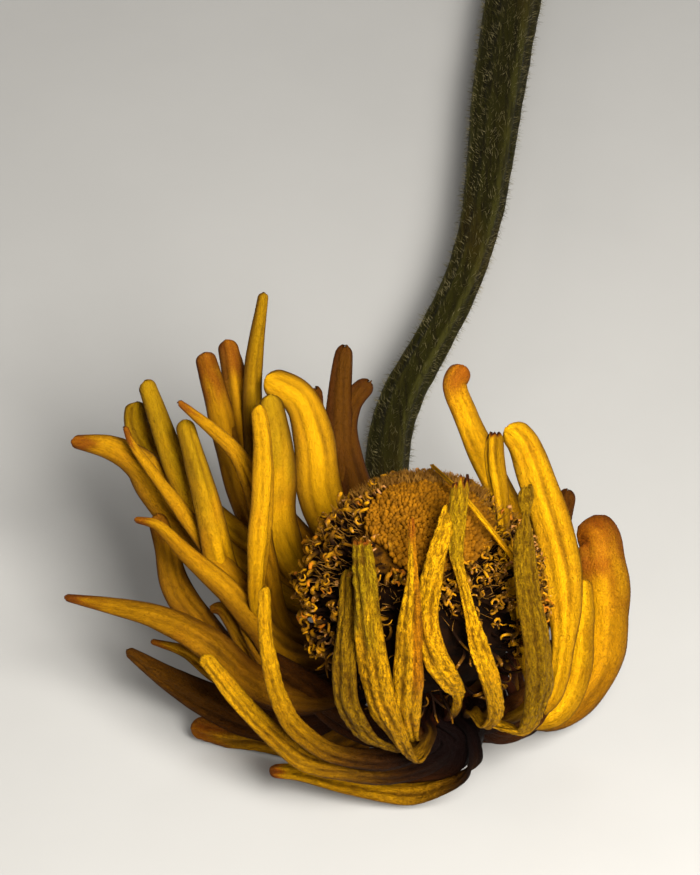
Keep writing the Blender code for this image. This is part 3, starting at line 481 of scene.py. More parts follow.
def smooth_path(points, count, crowd=0.0):
    """Points on a smooth curve through the given ones, the share of its length at each, and its length.

    A crowd over 0 sets them closer at its end, and one under 0 at its start."""
    between = 24
    ends = [points[0] * 2 - points[1]] + points + [points[-1] * 2 - points[-2]]
    dense = []
    for i in range(1, len(ends) - 2):
        dense.extend(curve_point(*ends[i - 1:i + 3], j / between) for j in range(between))
    dense.append(points[-1])
    lengths = [0.0]
    for a, b in zip(dense, dense[1:]):
        lengths.append(lengths[-1] + (b - a).length)
    path = []
    shares = []
    k = 0
    for i in range(count):
        t = i / (count - 1)
        shares.append(t * (1.0 + crowd * (1.0 - t)))
        target = lengths[-1] * shares[-1]
        while k < len(dense) - 2 and lengths[k + 1] < target:
            k += 1
        share = (target - lengths[k]) / max(lengths[k + 1] - lengths[k], 1e-9)
        path.append(dense[k].lerp(dense[k + 1], min(share, 1.0)))
    return path, shares, lengths[-1]


def carried_frames(path, outside):
    """A side and an outward normal at each point of a path, carried along it without turning about it."""
    frames = []
    normal = outside.copy()
    for i in range(len(path)):
        tangent = (path[min(i + 1, len(path) - 1)] - path[max(i - 1, 0)]).normalized()
        normal = (normal - tangent * normal.dot(tangent)).normalized()
        frames.append((tangent.cross(normal), normal, tangent))
    return frames


def turned_frames(path, shares, turn, up):
    """Frames along a petal whose broad side turns to the front past its root.

    A negative turn shows its outer side."""
    frames = []
    outside = up * math.copysign(1.0, turn)
    for share, (side, normal, tangent) in zip(shares, carried_frames(path, outside)):
        normal = normal + FRONT_SIDE * (abs(turn) * step(0.12, 0.45, share))
        normal = (normal - tangent * normal.dot(tangent)).normalized()
        frames.append((tangent.cross(normal), normal, tangent))
    return frames


def in_scene(name, data):
    """A new object with its data, linked to the scene."""
    obj = bpy.data.objects.new(name, data)
    bpy.context.scene.collection.objects.link(obj)
    return obj


@contextmanager
def edited(obj):
    """An object's mesh opened for editing, and written back at the end."""
    bm = bmesh.new()
    bm.from_mesh(obj.data)
    yield bm
    bm.to_mesh(obj.data)
    bm.free()


class MeshLists:
    """Points, faces and named values of a piece, gathered before its mesh is made."""

    def __init__(self, names=()):
        self.points = []
        self.faces = []
        self.uvs = []
        self.values = {name: [] for name in names}

    def grid(self, rows):
        """Add rings of points, with faces between them, and return the number of the first point."""
        size = len(rows[0])
        first = len(self.points)
        for row in rows:
            self.points.extend(row)
        for i in range(len(rows) - 1):
            low = first + i * size
            for j in range(size):
                k = (j + 1) % size
                self.faces.append((low + j, low + k, low + size + k, low + size + j))
        return first

    def caps(self, forward, backward, size):
        """Flat faces on two rings of one size, one in its points' order and one against it."""
        self.faces.append(tuple(range(forward, forward + size)))
        self.faces.append(tuple(range(backward, backward + size))[::-1])

    def close_sheet(self, first, stations, columns):
        """Close both ends of a thin sheet whose rows hold its outer side and then its inner side."""
        size = 2 * columns
        last = first + (stations - 1) * size
        for j in range(columns - 1):
            k = size - 1 - j
            self.faces.append((first + j, first + k, first + k - 1, first + j + 1))
            self.faces.append((last + j, last + j + 1, last + k - 1, last + k))

    def build(self, name, place=HEAD_PLACE):
        """The piece as an object at the origin, in metres."""
        mesh = bpy.data.meshes.new(name)
        mesh.from_pydata([(point + place) * MM for point in self.points], [], self.faces)
        for key, values in self.values.items():
            mesh.attributes.new(key, "FLOAT", "POINT").data.foreach_set("value", values)
        if self.uvs:
            flat = []
            for loop in mesh.loops:
                flat.extend(self.uvs[loop.vertex_index])
            mesh.uv_layers.new(name="surface").data.foreach_set("uv", flat)
        mesh.shade_smooth()
        mesh.validate()
        return outward(in_scene(name, mesh))


def outward(obj):
    """Turn every closed shell of a piece so that its faces point outwards."""
    with edited(obj) as bm:
        bmesh.ops.recalc_face_normals(bm, faces=bm.faces)
    return obj


def ready(obj, material, slot, *nodes):
    """Give a finished piece its material, hang it on the root body and hide the model's parts that it
    replaces.
    """
    obj.data.materials.clear()
    obj.data.materials.append(material)
    for polygon in obj.data.polygons:
        polygon.material_index = 0
    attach(obj, "root")
    if nodes:
        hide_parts(*nodes)


# Materials

# How little dry tissue shines, in every material
DRY_SHINE = 0.07


class Paint:
    """A small helper that adds and links shader nodes."""

    def __init__(self, name, roughness=0.6):
        self.material = bpy.data.materials.new(name)
        self.material.use_nodes = True
        self.tree = self.material.node_tree
        self.shader = self.tree.nodes["Principled BSDF"]
        self.shader.inputs["Roughness"].default_value = roughness
        self.shader.inputs["Specular IOR Level"].default_value = DRY_SHINE

    def node(self, kind, **settings):
        """A new node with its settings."""
        node = self.tree.nodes.new(kind)
        for key, value in settings.items():
            setattr(node, key, value)
        return node

    def link(self, source, target):
        """Link an output to an input."""
        self.tree.links.new(source, target)

    def value(self, name):
        """A named value of the mesh."""
        return self.node("ShaderNodeAttribute", attribute_name=name).outputs["Fac"]

    def math(self, operation, first, second=0.5, clamp=False):
        """The result of an operation on two values, each a socket or a number."""
        node = self.node("ShaderNodeMath", operation=operation, use_clamp=clamp)
        for socket, item in zip(node.inputs, (first, second)):
            if isinstance(item, (int, float)):
                socket.default_value = item
            else:
                self.link(item, socket)
        return node.outputs[0]

    def mix(self, factor, first, second, blend="MIX"):
        """Mix two colours, each a socket or a property's value."""
        node = self.node("ShaderNodeMix", data_type="RGBA", blend_type=blend)
        for socket, item in zip((node.inputs[0], node.inputs[6], node.inputs[7]), (factor, first, second)):
            if isinstance(item, (int, float)):
                socket.default_value = item
            elif isinstance(item, bpy.types.NodeSocket):
                self.link(item, socket)
            else:
                socket.default_value = (*item, 1.0)
        return node.outputs[2]

    def window(self, source, low, high, to_low=0.0, to_high=1.0):
        """Map a value from one range to another, smoothly."""
        node = self.node("ShaderNodeMapRange", interpolation_type="SMOOTHSTEP")
        self.link(source, node.inputs["Value"])
        for name, number in (("From Min", low), ("From Max", high), ("To Min", to_low), ("To Max", to_high)):
            node.inputs[name].default_value = number
        return node.outputs[0]

    def place(self, scale, source="Object"):
        """Coordinates in pattern units: the object's own, or its surface map's, which is in millimetres."""
        coordinates = self.node("ShaderNodeTexCoord")
        mapping = self.node("ShaderNodeMapping")
        mapping.inputs["Scale"].default_value = scale
        self.link(coordinates.outputs[source], mapping.inputs["Vector"])
        return mapping.outputs[0]

    def cloud(self, place, scale=1.0, detail=4.0, rough=0.55):
        """A soft random pattern."""
        node = self.node("ShaderNodeTexNoise")
        self.link(place, node.inputs["Vector"])
        node.inputs["Scale"].default_value = scale
        node.inputs["Detail"].default_value = detail
        node.inputs["Roughness"].default_value = rough
        return node.outputs["Fac"]

    def cells(self, place, scale=1.0):
        """The distance to the edge of the nearest of many small cells."""
        node = self.node("ShaderNodeTexVoronoi", feature="DISTANCE_TO_EDGE")
        self.link(place, node.inputs["Vector"])
        node.inputs["Scale"].default_value = scale
        return node.outputs["Distance"]

    def lines(self, pattern):
        """The distance of a pattern's value from its middle, which is low along thin wandering lines."""
        return self.math("ABSOLUTE", self.math("SUBTRACT", pattern, 0.5))

    def bump(self, height, distance, strength=1.0, below=None):
        """A normal that a pattern raises by a distance, over the bumps below it."""
        node = self.node("ShaderNodeBump")
        node.inputs["Strength"].default_value = strength
        node.inputs["Distance"].default_value = distance
        self.link(height, node.inputs["Height"])
        if below:
            self.link(below, node.inputs["Normal"])
        return node.outputs[0]

    def finish(self, colour, normal, roughness=None):
        """The material, with its colour, bumps and roughness linked to the shader."""
        self.link(colour, self.shader.inputs["Base Color"])
        self.link(normal, self.shader.inputs["Normal"])
        if roughness:
            self.link(roughness, self.shader.inputs["Roughness"])
        return self.material


def petal_material(colours):
    """Dried petal tissue: golden, olive or scorched by its values, with painted shade in its hollows, along
    its furrows and in the dips of its flecks.
    """
    paint = Paint("dried_petal", 0.6)
    detail = paint.value("detail")
    shade = paint.value("amber")
    scorch = paint.value("ember")
    blotch = paint.cloud(paint.place((260.0, 260.0, 260.0)), 1.0, 3.0)
    streak = paint.cloud(paint.place((2.0, 0.16, 1.0), "UV"), 1.0, 4.0, 0.6)
    crinkle = paint.lines(paint.cloud(paint.place((3.0, 1.2, 1.0), "UV"), 1.0, 3.0, 0.6))
    fibre = paint.lines(paint.cloud(paint.place((8.0, 3.0, 1.0), "UV"), 1.0, 2.0, 0.5))
    fleck = paint.cloud(paint.place((5.0, 1.1, 1.0), "UV"), 1.0, 3.0, 0.65)
    grain = paint.cloud(paint.place((1.0, 1.0, 1.0), "UV"), 8.0, 3.0, 0.6)
    colour = paint.mix(paint.window(blotch, 0.46, 0.76, 0.0, 0.35), colours.gold, colours.amber)
    colour = paint.mix(paint.window(shade, 0.0, 0.6), colour, colours.amber)
    colour = paint.mix(paint.value("olive"), colour, colours.olive)
    # Darkened towards umber: by the amber share and random streaks, the tissue's own, and by low relief,
    # painted shade in hollows and at the rims
    dark = [paint.window(shade, 0.35, 1.0, 0.0, 0.9), paint.window(streak, 0.50, 0.74, 0.0, 0.3),
            paint.window(paint.value("relief"), -0.2, -1.4, 0.0, 0.75)]
    sharp = paint.math("MULTIPLY", detail, detail)
    # Painted shade in the furrows and dips that the bumps below cut
    marks = ((crinkle, 0.05, 0.005, detail, 0.3), (fleck, 0.53, 0.37, sharp, 0.68),
             (fibre, 0.045, 0.0, detail, 0.35))
    for pattern, low, high, where, most in marks:
        furrow_shade = paint.math("MULTIPLY", paint.window(pattern, low, high), where)
        dark.append(paint.math("MULTIPLY", furrow_shade, most))
    for share in dark:
        colour = paint.mix(share, colour, colours.umber)
    reach = paint.math("ADD", scorch, paint.window(grain, 0.3, 0.7, -0.12, 0.12))
    colour = paint.mix(paint.window(reach, 0.15, 0.95, 0.0, 0.9), colour, colours.ember)
    colour = paint.mix(paint.window(scorch, 0.85, 1.0, 0.0, 0.85), colour, colours.root)
    colour = paint.mix(paint.value("root"), colour, colours.root)
    # Painted shade: the petal multiplied towards the shadow colour by its dim value
    colour = paint.mix(paint.value("dim"), colour, colours.shadow, "MULTIPLY")
    normal = None
    furrows = ((crinkle, 0.0, 0.12, 0.00012, 1.0), (fleck, 0.3, 0.6, 0.00014, 1.0),
               (fibre, 0.0, 0.10, 0.00008, 0.8))
    for pattern, low, high, height, strength in furrows:
        depth = paint.math("MULTIPLY", paint.window(pattern, low, high), detail)
        normal = paint.bump(depth, height, strength, normal)
    normal = paint.bump(grain, 0.00004, 0.5, normal)
    return paint.finish(colour, normal, paint.window(grain, 0.3, 0.7, 0.5, 0.72))


def floret_material(name, colours, light, shaded, speck_from):
    """Floret tissue: golden lobes, painted shade on the tubes towards the bed, and a few pale or orange
    specks.
    """
    paint = Paint(name, 0.8)
    place = paint.place((1000.0, 1000.0, 1000.0))
    tone = paint.value("tone")
    reach = paint.value("reach")
    colour = paint.mix(paint.window(tone, 0.60, 0.92, 0.0, 0.5), light, colours.gold)
    colour = paint.mix(paint.window(tone, 0.40, 0.05, 0.0, 0.8), colour, colours.umber)
    mottle = paint.cloud(place, 1.4, 3.0)
    colour = paint.mix(paint.window(mottle, 0.62, 0.36, 0.0, 0.75), colour, colours.umber)
    # Painted shade down the tubes towards the bed
    colour = paint.mix(paint.window(reach, *shaded), colours.floret_dark, colour)
    speckle = paint.window(paint.cloud(place, 3.5, 1.0), speck_from, speck_from + 0.04)
    pale = paint.math("MULTIPLY", speckle, paint.window(reach, 0.6, 0.8), True)
    colour = paint.mix(pale, colour, colours.speck)
    tip = paint.window(reach, 0.72, 0.95)
    for low, high, tint in ((0.76, 0.82, colours.mouth), (0.90, 0.95, colours.speck)):
        share = paint.math("MULTIPLY", tip, paint.window(tone, low, high, 0.0, 0.75))
        colour = paint.mix(share, colour, tint)
    normal = paint.bump(paint.cloud(place, 5.0, 2.0), 0.00008, 0.5)
    return paint.finish(colour, normal)


def plain_material(name, colour, shade, scale, roughness=0.7, bump=0.0001):
    """A dry mottled surface between two colours, with a fine grain."""
    paint = Paint(name, roughness)
    place = paint.place((scale, scale, scale))
    mottle = paint.cloud(place, 1.0, 5.0, 0.6)
    tint = paint.mix(paint.window(mottle, 0.35, 0.65), colour, shade)
    return paint.finish(tint, paint.bump(mottle, bump, 0.7))


def stem_material(colours):
    """The dry stem: dark olive, with paler ridges, brown blotches and fine wrinkles along it, painted darker
    in their grooves as shade.
    """
    paint = Paint("dry_stem", 0.6)
    wrinkle = paint.cloud(paint.place((2100.0, 150.0, 2100.0)), 1.0, 5.0, 0.62)
    blotch = paint.cloud(paint.place((150.0, 40.0, 150.0)), 1.0, 3.0)
    pore = paint.cells(paint.place((5200.0, 2600.0, 5200.0)), 1.0)
    crest = paint.window(paint.value("ridge"), 0.1, 1.2, 0.0, 0.8)
    colour = paint.mix(crest, colours.stem, colours.stem_pale)
    colour = paint.mix(paint.window(blotch, 0.48, 0.74, 0.0, 0.35), colour, colours.calyx)
    # Painted shade in the wrinkles' grooves
    colour = paint.mix(paint.window(wrinkle, 0.56, 0.34, 0.0, 0.6), colour, colours.bed)
    colour = paint.mix(paint.value("pith"), colour, colours.pith)
    normal = paint.bump(wrinkle, 0.00030, 0.9)
    normal = paint.bump(paint.window(pore, 0.0, 0.25), 0.00005, 0.6, normal)
    return paint.finish(colour, normal)


# Geometry node trees

class Weave:
    """A small helper that builds a geometry node tree with named inputs."""

    def __init__(self, name, inputs):
        self.tree = bpy.data.node_groups.new(name, "GeometryNodeTree")
        face = self.tree.interface
        face.new_socket("Geometry", in_out="INPUT", socket_type="NodeSocketGeometry")
        for label, kind in inputs:
            face.new_socket(label, in_out="INPUT", socket_type="NodeSocket" + kind)
        face.new_socket("Geometry", in_out="OUTPUT", socket_type="NodeSocketGeometry")
        self.inputs = self.tree.nodes.new("NodeGroupInput").outputs

    def node(self, kind, links=None, **settings):
        """A node with its settings, and each named or numbered input linked or given a value."""
        node = self.tree.nodes.new(kind)
        for key, value in settings.items():
            setattr(node, key, value)
        for key, item in (links or {}).items():
            if isinstance(item, bpy.types.NodeSocket):
                self.tree.links.new(item, node.inputs[key])
            else:
                node.inputs[key].default_value = item
        return node

    def math(self, operation, first, second=0.0):
        """The result of an operation on two values, each a socket or a number."""
        return self.node("ShaderNodeMath", {0: first, 1: second}, operation=operation).outputs[0]

    def scale(self, vector, factor):
        """A vector made longer by a factor."""
        return self.node("ShaderNodeVectorMath", {0: vector, "Scale": factor}, operation="SCALE").outputs[0]

    def finish(self, geometry, material):
        """End the tree: instances made real, shaded smooth, in the given material."""
        real = self.node("GeometryNodeRealizeInstances", {0: geometry}).outputs[0]
        smooth = self.node("GeometryNodeSetShadeSmooth", {0: real}).outputs[0]
        painted = self.node("GeometryNodeSetMaterial", {0: smooth, "Material": material}).outputs[0]
        self.node("NodeGroupOutput", {0: painted})
        return self.tree


def seat_tree():
    """Stand one of several shapes on each point, turned and sized by the points' own values."""
    weave = Weave("seat_shapes", [("Shapes", "Collection"), ("Material", "Material")])
    shapes = weave.node("GeometryNodeCollectionInfo", {"Collection": weave.inputs["Shapes"],
                                                       "Separate Children": True, "Reset Children": True})
    which = weave.node("GeometryNodeInputNamedAttribute", {"Name": "shape"}, data_type="INT")
    aim = weave.node("GeometryNodeInputNamedAttribute", {"Name": "aim"}, data_type="FLOAT_VECTOR")
    size = weave.node("GeometryNodeInputNamedAttribute", {"Name": "size"}, data_type="FLOAT_VECTOR")
    turn = weave.node("FunctionNodeEulerToRotation", {0: aim.outputs[0]})
    seated = weave.node("GeometryNodeInstanceOnPoints", {
        "Points": weave.inputs["Geometry"], "Instance": shapes.outputs[0], "Pick Instance": True,
        "Instance Index": which.outputs[0], "Rotation": turn.outputs[0],
        "Scale": size.outputs[0]})
    return weave.finish(seated.outputs[0], weave.inputs["Material"])


def hair_tree():
    """Scatter thin cones over a surface, standing off it and leaning at random."""
    weave = Weave("surface_hairs", [("Density", "Float"), ("Length", "Float"), ("Width", "Float"),
                                    ("Lean", "Float"), ("Seed", "Int"), ("Material", "Material")])
    seed = weave.inputs["Seed"]
    points = weave.node("GeometryNodeDistributePointsOnFaces", {
        "Mesh": weave.inputs["Geometry"], "Density": weave.inputs["Density"], "Seed": seed})
    cone = weave.node("GeometryNodeMeshCone", {
        "Vertices": 3, "Radius Top": 0.05, "Radius Bottom": 1.0, "Depth": 1.0})
    lean = weave.node("FunctionNodeRandomValue", {
        "Min": (-1.0, -1.0, -1.0), "Max": (1.0, 1.0, 1.0), "Seed": seed}, data_type="FLOAT_VECTOR")
    heading = weave.node("ShaderNodeVectorMath", {0: points.outputs["Normal"],
                                                  1: weave.scale(lean.outputs[0], weave.inputs["Lean"])})
    turn = weave.node("FunctionNodeAlignRotationToVector", {"Vector": heading.outputs[0]}, axis="Z")
    reach = weave.node("FunctionNodeRandomValue", {2: 0.4, 3: 1.3, "Seed": seed}, data_type="FLOAT")
    tall = weave.math("MULTIPLY", weave.inputs["Length"], reach.outputs[1])
    size = weave.node("ShaderNodeCombineXYZ", {0: weave.inputs["Width"], 1: weave.inputs["Width"], 2: tall})
    hairs = weave.node("GeometryNodeInstanceOnPoints", {
        "Points": points.outputs["Points"], "Instance": cone.outputs["Mesh"], "Rotation": turn.outputs[0],
        "Scale": size.outputs[0]})
    return weave.finish(hairs.outputs[0], weave.inputs["Material"])


def sweep_tree():
    """Sweep a ridged outline along a curve, by the curve's own radius, then wrinkle the skin."""
    weave = Weave("ridged_stem", [("Stations", "Int"), ("Sides", "Int"), ("Ridges", "Float"),
                                  ("Ridge Height", "Float"), ("Wrinkle", "Float"), ("Material", "Material")])
    path = weave.node("GeometryNodeResampleCurve", {"Curve": weave.inputs["Geometry"],
                                                    "Count": weave.inputs["Stations"]})
    outline = weave.node("GeometryNodeCurvePrimitiveCircle", {
        "Resolution": weave.inputs["Sides"], "Radius": 1.0})
    index = weave.node("GeometryNodeInputIndex").outputs[0]
    turn = weave.math("MULTIPLY", weave.math("DIVIDE", index, weave.inputs["Sides"]), 2.0 * math.pi)
    wave = weave.math("SINE", weave.math("MULTIPLY", turn, weave.inputs["Ridges"]))
    broad = weave.math("SINE", weave.math("MULTIPLY", turn, BROAD_RIDGES))
    crest = weave.math("ADD", wave, weave.math("MULTIPLY", broad, BROAD_SHARE))
    marked = weave.node("GeometryNodeStoreNamedAttribute", {
        "Geometry": outline.outputs[0], "Name": "ridge", "Value": crest}, data_type="FLOAT", domain="POINT")
    grown = weave.math("ADD", weave.math("MULTIPLY", crest, weave.inputs["Ridge Height"]), 1.0)
    where = weave.node("GeometryNodeInputPosition").outputs[0]
    profile = weave.node("GeometryNodeSetPosition", {
        "Geometry": marked.outputs[0], "Position": weave.scale(where, grown)})
    radius = weave.node("GeometryNodeInputRadius").outputs[0]
    skin = weave.node("GeometryNodeCurveToMesh", {
        "Curve": path.outputs[0], "Profile Curve": profile.outputs[0], "Scale": radius, "Fill Caps": True})
    stretched = weave.node("ShaderNodeVectorMath", {
        0: where, 1: WRINKLE_SCALE}, operation="MULTIPLY")
    cloud = weave.node("ShaderNodeTexNoise", {"Vector": stretched.outputs[0], "Scale": 1.0, "Detail": 3.0})
    lift = weave.math("MULTIPLY", weave.math("SUBTRACT", cloud.outputs[0], 0.5), weave.inputs["Wrinkle"])
    normal = weave.node("GeometryNodeInputNormal").outputs[0]
    wrinkled = weave.node("GeometryNodeSetPosition", {
        "Geometry": skin.outputs[0], "Offset": weave.scale(normal, lift)})
    return weave.finish(wrinkled.outputs[0], weave.inputs["Material"])


def grow(base, tree, name, **values):
    """Run a tree on an object, and keep its result as a plain mesh in a new object."""
    modifier = base.modifiers.new(tree.name, "NODES")
    modifier.node_group = tree
    for item in tree.interface.items_tree:
        if item.in_out == "INPUT" and item.name in values:
            modifier[item.identifier] = values[item.name]
    bpy.context.view_layer.update()
    evaluated = base.evaluated_get(bpy.context.evaluated_depsgraph_get())
    mesh = bpy.data.meshes.new_from_object(evaluated)
    base.modifiers.remove(modifier)
    mesh.name = name
    return in_scene(name, mesh)


# Petals

def noise_at(x, y, z):
    """Smooth noise at a place."""
    return noise.noise(Vector((x, y, z)))


def spread(along, width, tip, waist):
    """The width of a petal at a place along it: a narrow root, widest past the middle, and a narrower tip."""
    body = 1.0
    if along > 0.5:
        body = 1.0 - (1.0 - tip) * ((along - 0.5) / 0.5) ** 1.7
    if waist:
        middle, reach, share = waist
        body *= 1.0 - (1.0 - share) * math.exp(-((along - middle) / reach) ** 2)
    return ROOT_WIDTH + (width * body - ROOT_WIDTH) * step(0.06, 0.52, along)


def petal_section(wide, left, right, columns):
    """A row across a petal with its edges rolled: each place, the way it faces and how far round it is."""
    turns = []
    for j in range(columns):
        u = -1.0 + 2.0 * j / (columns - 1)
        turns.append((left if u < 0 else right) * (0.5 * u + 0.5 * u * abs(u) ** 1.5))
    places = [Vector((0.0, 0.0))]
    for a, b in zip(turns, turns[1:]):
        middle = 0.5 * (a + b)
        places.append(places[-1] + Vector((math.cos(middle), -math.sin(middle))))
    low = min(p.x for p in places)
    high = max(p.x for p in places)
    top = max(p.y for p in places)
    bottom = min(p.y for p in places)
    size = wide / (high - low)
    centre = Vector((0.5 * (low + high), top - 0.4 * (top - bottom)))
    return [((place - centre) * size, turn, (j - 0.5 * columns) * size)
            for j, (place, turn) in enumerate(zip(places, turns))]


class DriedPetal:
    """One petal's path, folds and way of drying, from which its sheet is made row by row."""

    def __init__(self, number, petal, sizes, detail, stations):
        draw = draws("petal", number)
        self.sizes = sizes
        self.detail = detail
        self.width = petal.width
        self.way = Drying(*DRYING[petal.drying])
        self.waist = WAISTS.get(petal.angle)
        self.amber_fold = AMBER_FOLD.get(petal.angle, (0.0, 0.0))
        self.shift = 7.3 * number
        self.strip = SURFACE_STRIP * number
        self.drift = math.radians(draw.uniform(-14.0, 14.0))
        self.rolls = (draw.uniform(0.75, 1.15), draw.uniform(0.75, 1.15))
        self.folds = [(draw.uniform(low, high), draw.uniform(0.05, 0.10), draw.uniform(0.15, 0.24))
                      for low, high in ((-0.5, -0.28), (0.22, 0.5))]
        self.rippled = draw.uniform(-0.25, 0.3)
        self.crest = draw.uniform(-0.2, 0.2)
        frame_of_head = head_frame()
        around = math.radians(petal.angle)
        roots = [frame_of_head @ Vector((r * math.cos(around), r * math.sin(around), ROOT_RISE))
                 for r in ROOT_RADII]
        points = roots + [Vector(point) for point in petal.points]
        self.path, self.shares, self.length = smooth_path(points, stations, PETAL_CROWD)
        up = frame_of_head.to_3x3() @ upright(1.0)
        self.frames = turned_frames(self.path, self.shares, petal.turn, up)

    def wide(self, along, far, past):
        """The width of the rolled sheet at a place along it, less at its rounded or torn end."""
        wide = spread(along, self.width, self.way.tip, self.waist)
        wide *= 1.0 + 0.08 * noise_at(0.25 * far, self.shift, 3.0)
        return wide * math.sqrt(max(1.0 - (1.0 - 0.6 * self.way.teeth) * past * past, 0.02))

    def rolled(self, along, far):
        """How far the left and the right edge roll in at a place along the petal."""
        base = math.radians(self.way.roll)
        base *= 1.0 + 0.5 * (1.0 - step(0.05, 0.4, along)) + 0.2 * step(0.75, 1.0, along)
        return [base * roll * (1.0 + 0.4 * noise_at(0.16 * far, self.shift, layer))
                for roll, layer in zip(self.rolls, (1.0, 5.0))]

    def height(self, u, arc, far, wander, wide):
        """How far the sheet stands out at a place: two long folds, ribs, creases and ripples across it."""
        sizes = self.sizes
        shift = self.shift
        fold = 0.0
        for middle, depth, reach in self.folds:
            fold += depth * math.exp(-((u - middle + wander) / reach) ** 2)
        rib = math.cos(2.0 * math.pi * arc / 0.9 + 9.0 * wander)
        crease = noise_at(1.3 * arc, 0.30 * far + 0.4 * arc, shift)
        pucker = noise_at(4.4 * arc + 0.3 * far, 1.2 * far, shift + 11.0)
        cross = math.sin(5.2 * far + 1.1 * arc + 4.0 * noise_at(0.5 * arc, 0.25 * far, shift + 20.0))
        cross *= step(0.0, 0.45, noise_at(0.2 * arc, 0.16 * far, shift + 30.0) + self.rippled)
        fine = 0.6 * sizes.rib * rib + 0.42 * sizes.crease * pucker + 0.6 * sizes.ripple * cross
        height = sizes.crease * crease * (0.3 + 0.7 * self.detail) + fine * self.detail
        return height / MM - fold * min(wide, 4.2) * (0.85 + 0.15 * self.detail)

    def notch(self, u):
        """How far the torn tip reaches on at a place across it, in its teeth's own depth."""
        torn = 0.6 + 1.3 * noise_at(2.2 * u, self.shift, 60.0)
        return abs(math.sin(1.7 * math.pi * (u + 0.2 * math.sin(self.shift)))) * torn - 0.4

    def looks(self, u, along, far, relief):
        """The named values at a place, for the outer and for the inner side of the sheet."""
        way = self.way
        ragged = noise_at(1.5 * u, 0.4 * far, self.shift + 50.0)
        burnt = max(way.ember_from + 0.012, 0.98)
        scorch = way.ember * step(way.ember_from, burnt, along + 0.04 * ragged * (1.0 - way.ember_from) / 0.1)
        green = way.olive * step(way.olive_from, way.olive_from + 0.22, along + 0.12 * ragged)
        fold, fold_from = self.amber_fold
        shade = way.amber * (1.0 - 0.35 * step(0.35, 0.85, along))
        shade += fold * step(fold_from, fold_from + 0.2, along) * step(0.15, 0.4, u)
        root = 1.0 - step(0.35 * way.root_reach, way.root_reach, along + 0.03 * ragged)
        # Painted shade: how much darker the petal is drawn here, from its root to its tip and on its rolled
        # sides
        shadowed = step(0.5 * way.root_reach, 0.34 + way.root_reach, along)
        shadowed = way.dim_root + (way.dim_tip - way.dim_root) * shadowed
        soft = min(1.2 * (1.0 - self.detail), 1.0)
        dim = 1.0 - (1.0 - shadowed) * (1.0 - SIDE_DARK * soft * step(0.25, 0.95, abs(u - self.crest)))
        rest = (scorch, shade, root, dim, self.detail)
        # The inner side's relief is lower, so it gets more painted shade
        return (relief, green, *rest), (0.3 * relief - 0.3, 0.7 * green, *rest)

    def row(self, point, along, frame, columns):
        """One row of the sheet, outer side and then inner side: places, their values and surface places."""
        side, normal, tangent = frame
        far = along * self.length
        swing = self.drift * math.sin(3.0 * along + self.shift) * step(0.1, 0.5, along)
        spin = Matrix.Rotation(swing, 3, tangent)
        side = spin @ side
        normal = spin @ normal
        end = 0.45 * self.way.tip * self.width
        past = max(far - self.length + end, 0.0) / end
        wide = self.wide(along, far, past)
        wander = 0.16 * noise_at(0.12 * far, self.shift, 9.0)
        ease = step(0.0, 0.25, along) * (1.0 - 0.6 * past * past)
        tooth = self.way.teeth * step(0.94, 1.0, along)
        outer = []
        inner = []
        section = petal_section(wide, *self.rolled(along, far), columns)
        for j, (place, facing, arc) in enumerate(section):
            u = -1.0 + 2.0 * j / (columns - 1)
            out = side * math.sin(facing) + normal * math.cos(facing)
            height = ease * self.height(u, arc, far, wander, wide)
            height *= min(1.0, 1.15 - u ** 6)
            spot = point + side * place.x + normal * place.y + tangent * (tooth * self.notch(u))
            # Low relief, in hollows and at the rolled rims, is drawn as painted shade
            relief = height / (0.045 * self.width + 0.12) - step(0.72, 1.0, abs(u))
            outside, inside = self.looks(u, along, far, relief)
            mapped = arc + self.strip
            outer.append((spot + out * height, outside, (mapped, far)))
            under = spot + out * (0.7 * height - self.sizes.sheet / MM)
            inner.append((under, inside, (mapped + SURFACE_INNER, far)))
        row = outer + inner[::-1]
        lift = max(TABLE_GAP - min(entry[0].z for entry in row), 0.0)
        if lift:
            row = [(spot + upright(lift), values, uv) for spot, values, uv in row]
        return row

    def add(self, lists, columns):
        """Add the whole sheet, closed at its root and at its tip."""
        rows = [self.row(point, along, frame, columns)
                for point, along, frame in zip(self.path, self.shares, self.frames)]
        first = lists.grid([[entry[0] for entry in row] for row in rows])
        for row in rows:
            for spot, values, uv in row:
                lists.uvs.append(uv)
                for name, value in zip(PETAL_VALUES, values):
                    lists.values[name].append(value)
        lists.close_sheet(first, len(rows), columns)


def hidden_petal(angle, reach, height):
    """A petal behind the head, which goes out from the rim and then turns up at its tip."""
    out = across(math.radians(angle))
    steps = [(9.5, 11.5), (0.65 * reach, 0.5 * (height + 8.0)), (0.88 * reach, height - 1.0),
             (reach, height + 2.0)]
    return Petal(angle, HIDDEN_WIDTH, 1, "brown", [out * r + upright(z) for r, z in steps])


class PetalOperator(bpy.types.Operator):
    """Roll, rib and scorch every ray petal, in groups round the head"""
    bl_idname = "daisy.petals"
    bl_label = "Ray Petals"

    def execute(self, context):
        sizes = context.scene.daisy_sizes
        material = petal_material(context.scene.daisy_colours)
        number = 0
        for name, petals, columns, stations, detail in PETAL_GROUPS:
            if petals is HIDDEN_PETALS:
                petals = [hidden_petal(*petal) for petal in petals]
            lists = MeshLists(PETAL_VALUES)
            for petal in petals:
                DriedPetal(number, Petal(*petal), sizes, detail, stations).add(lists, columns)
                number += 1
            ready(lists.build(name), material, "petal", "ray_petals")
        return {"FINISHED"}


# Florets

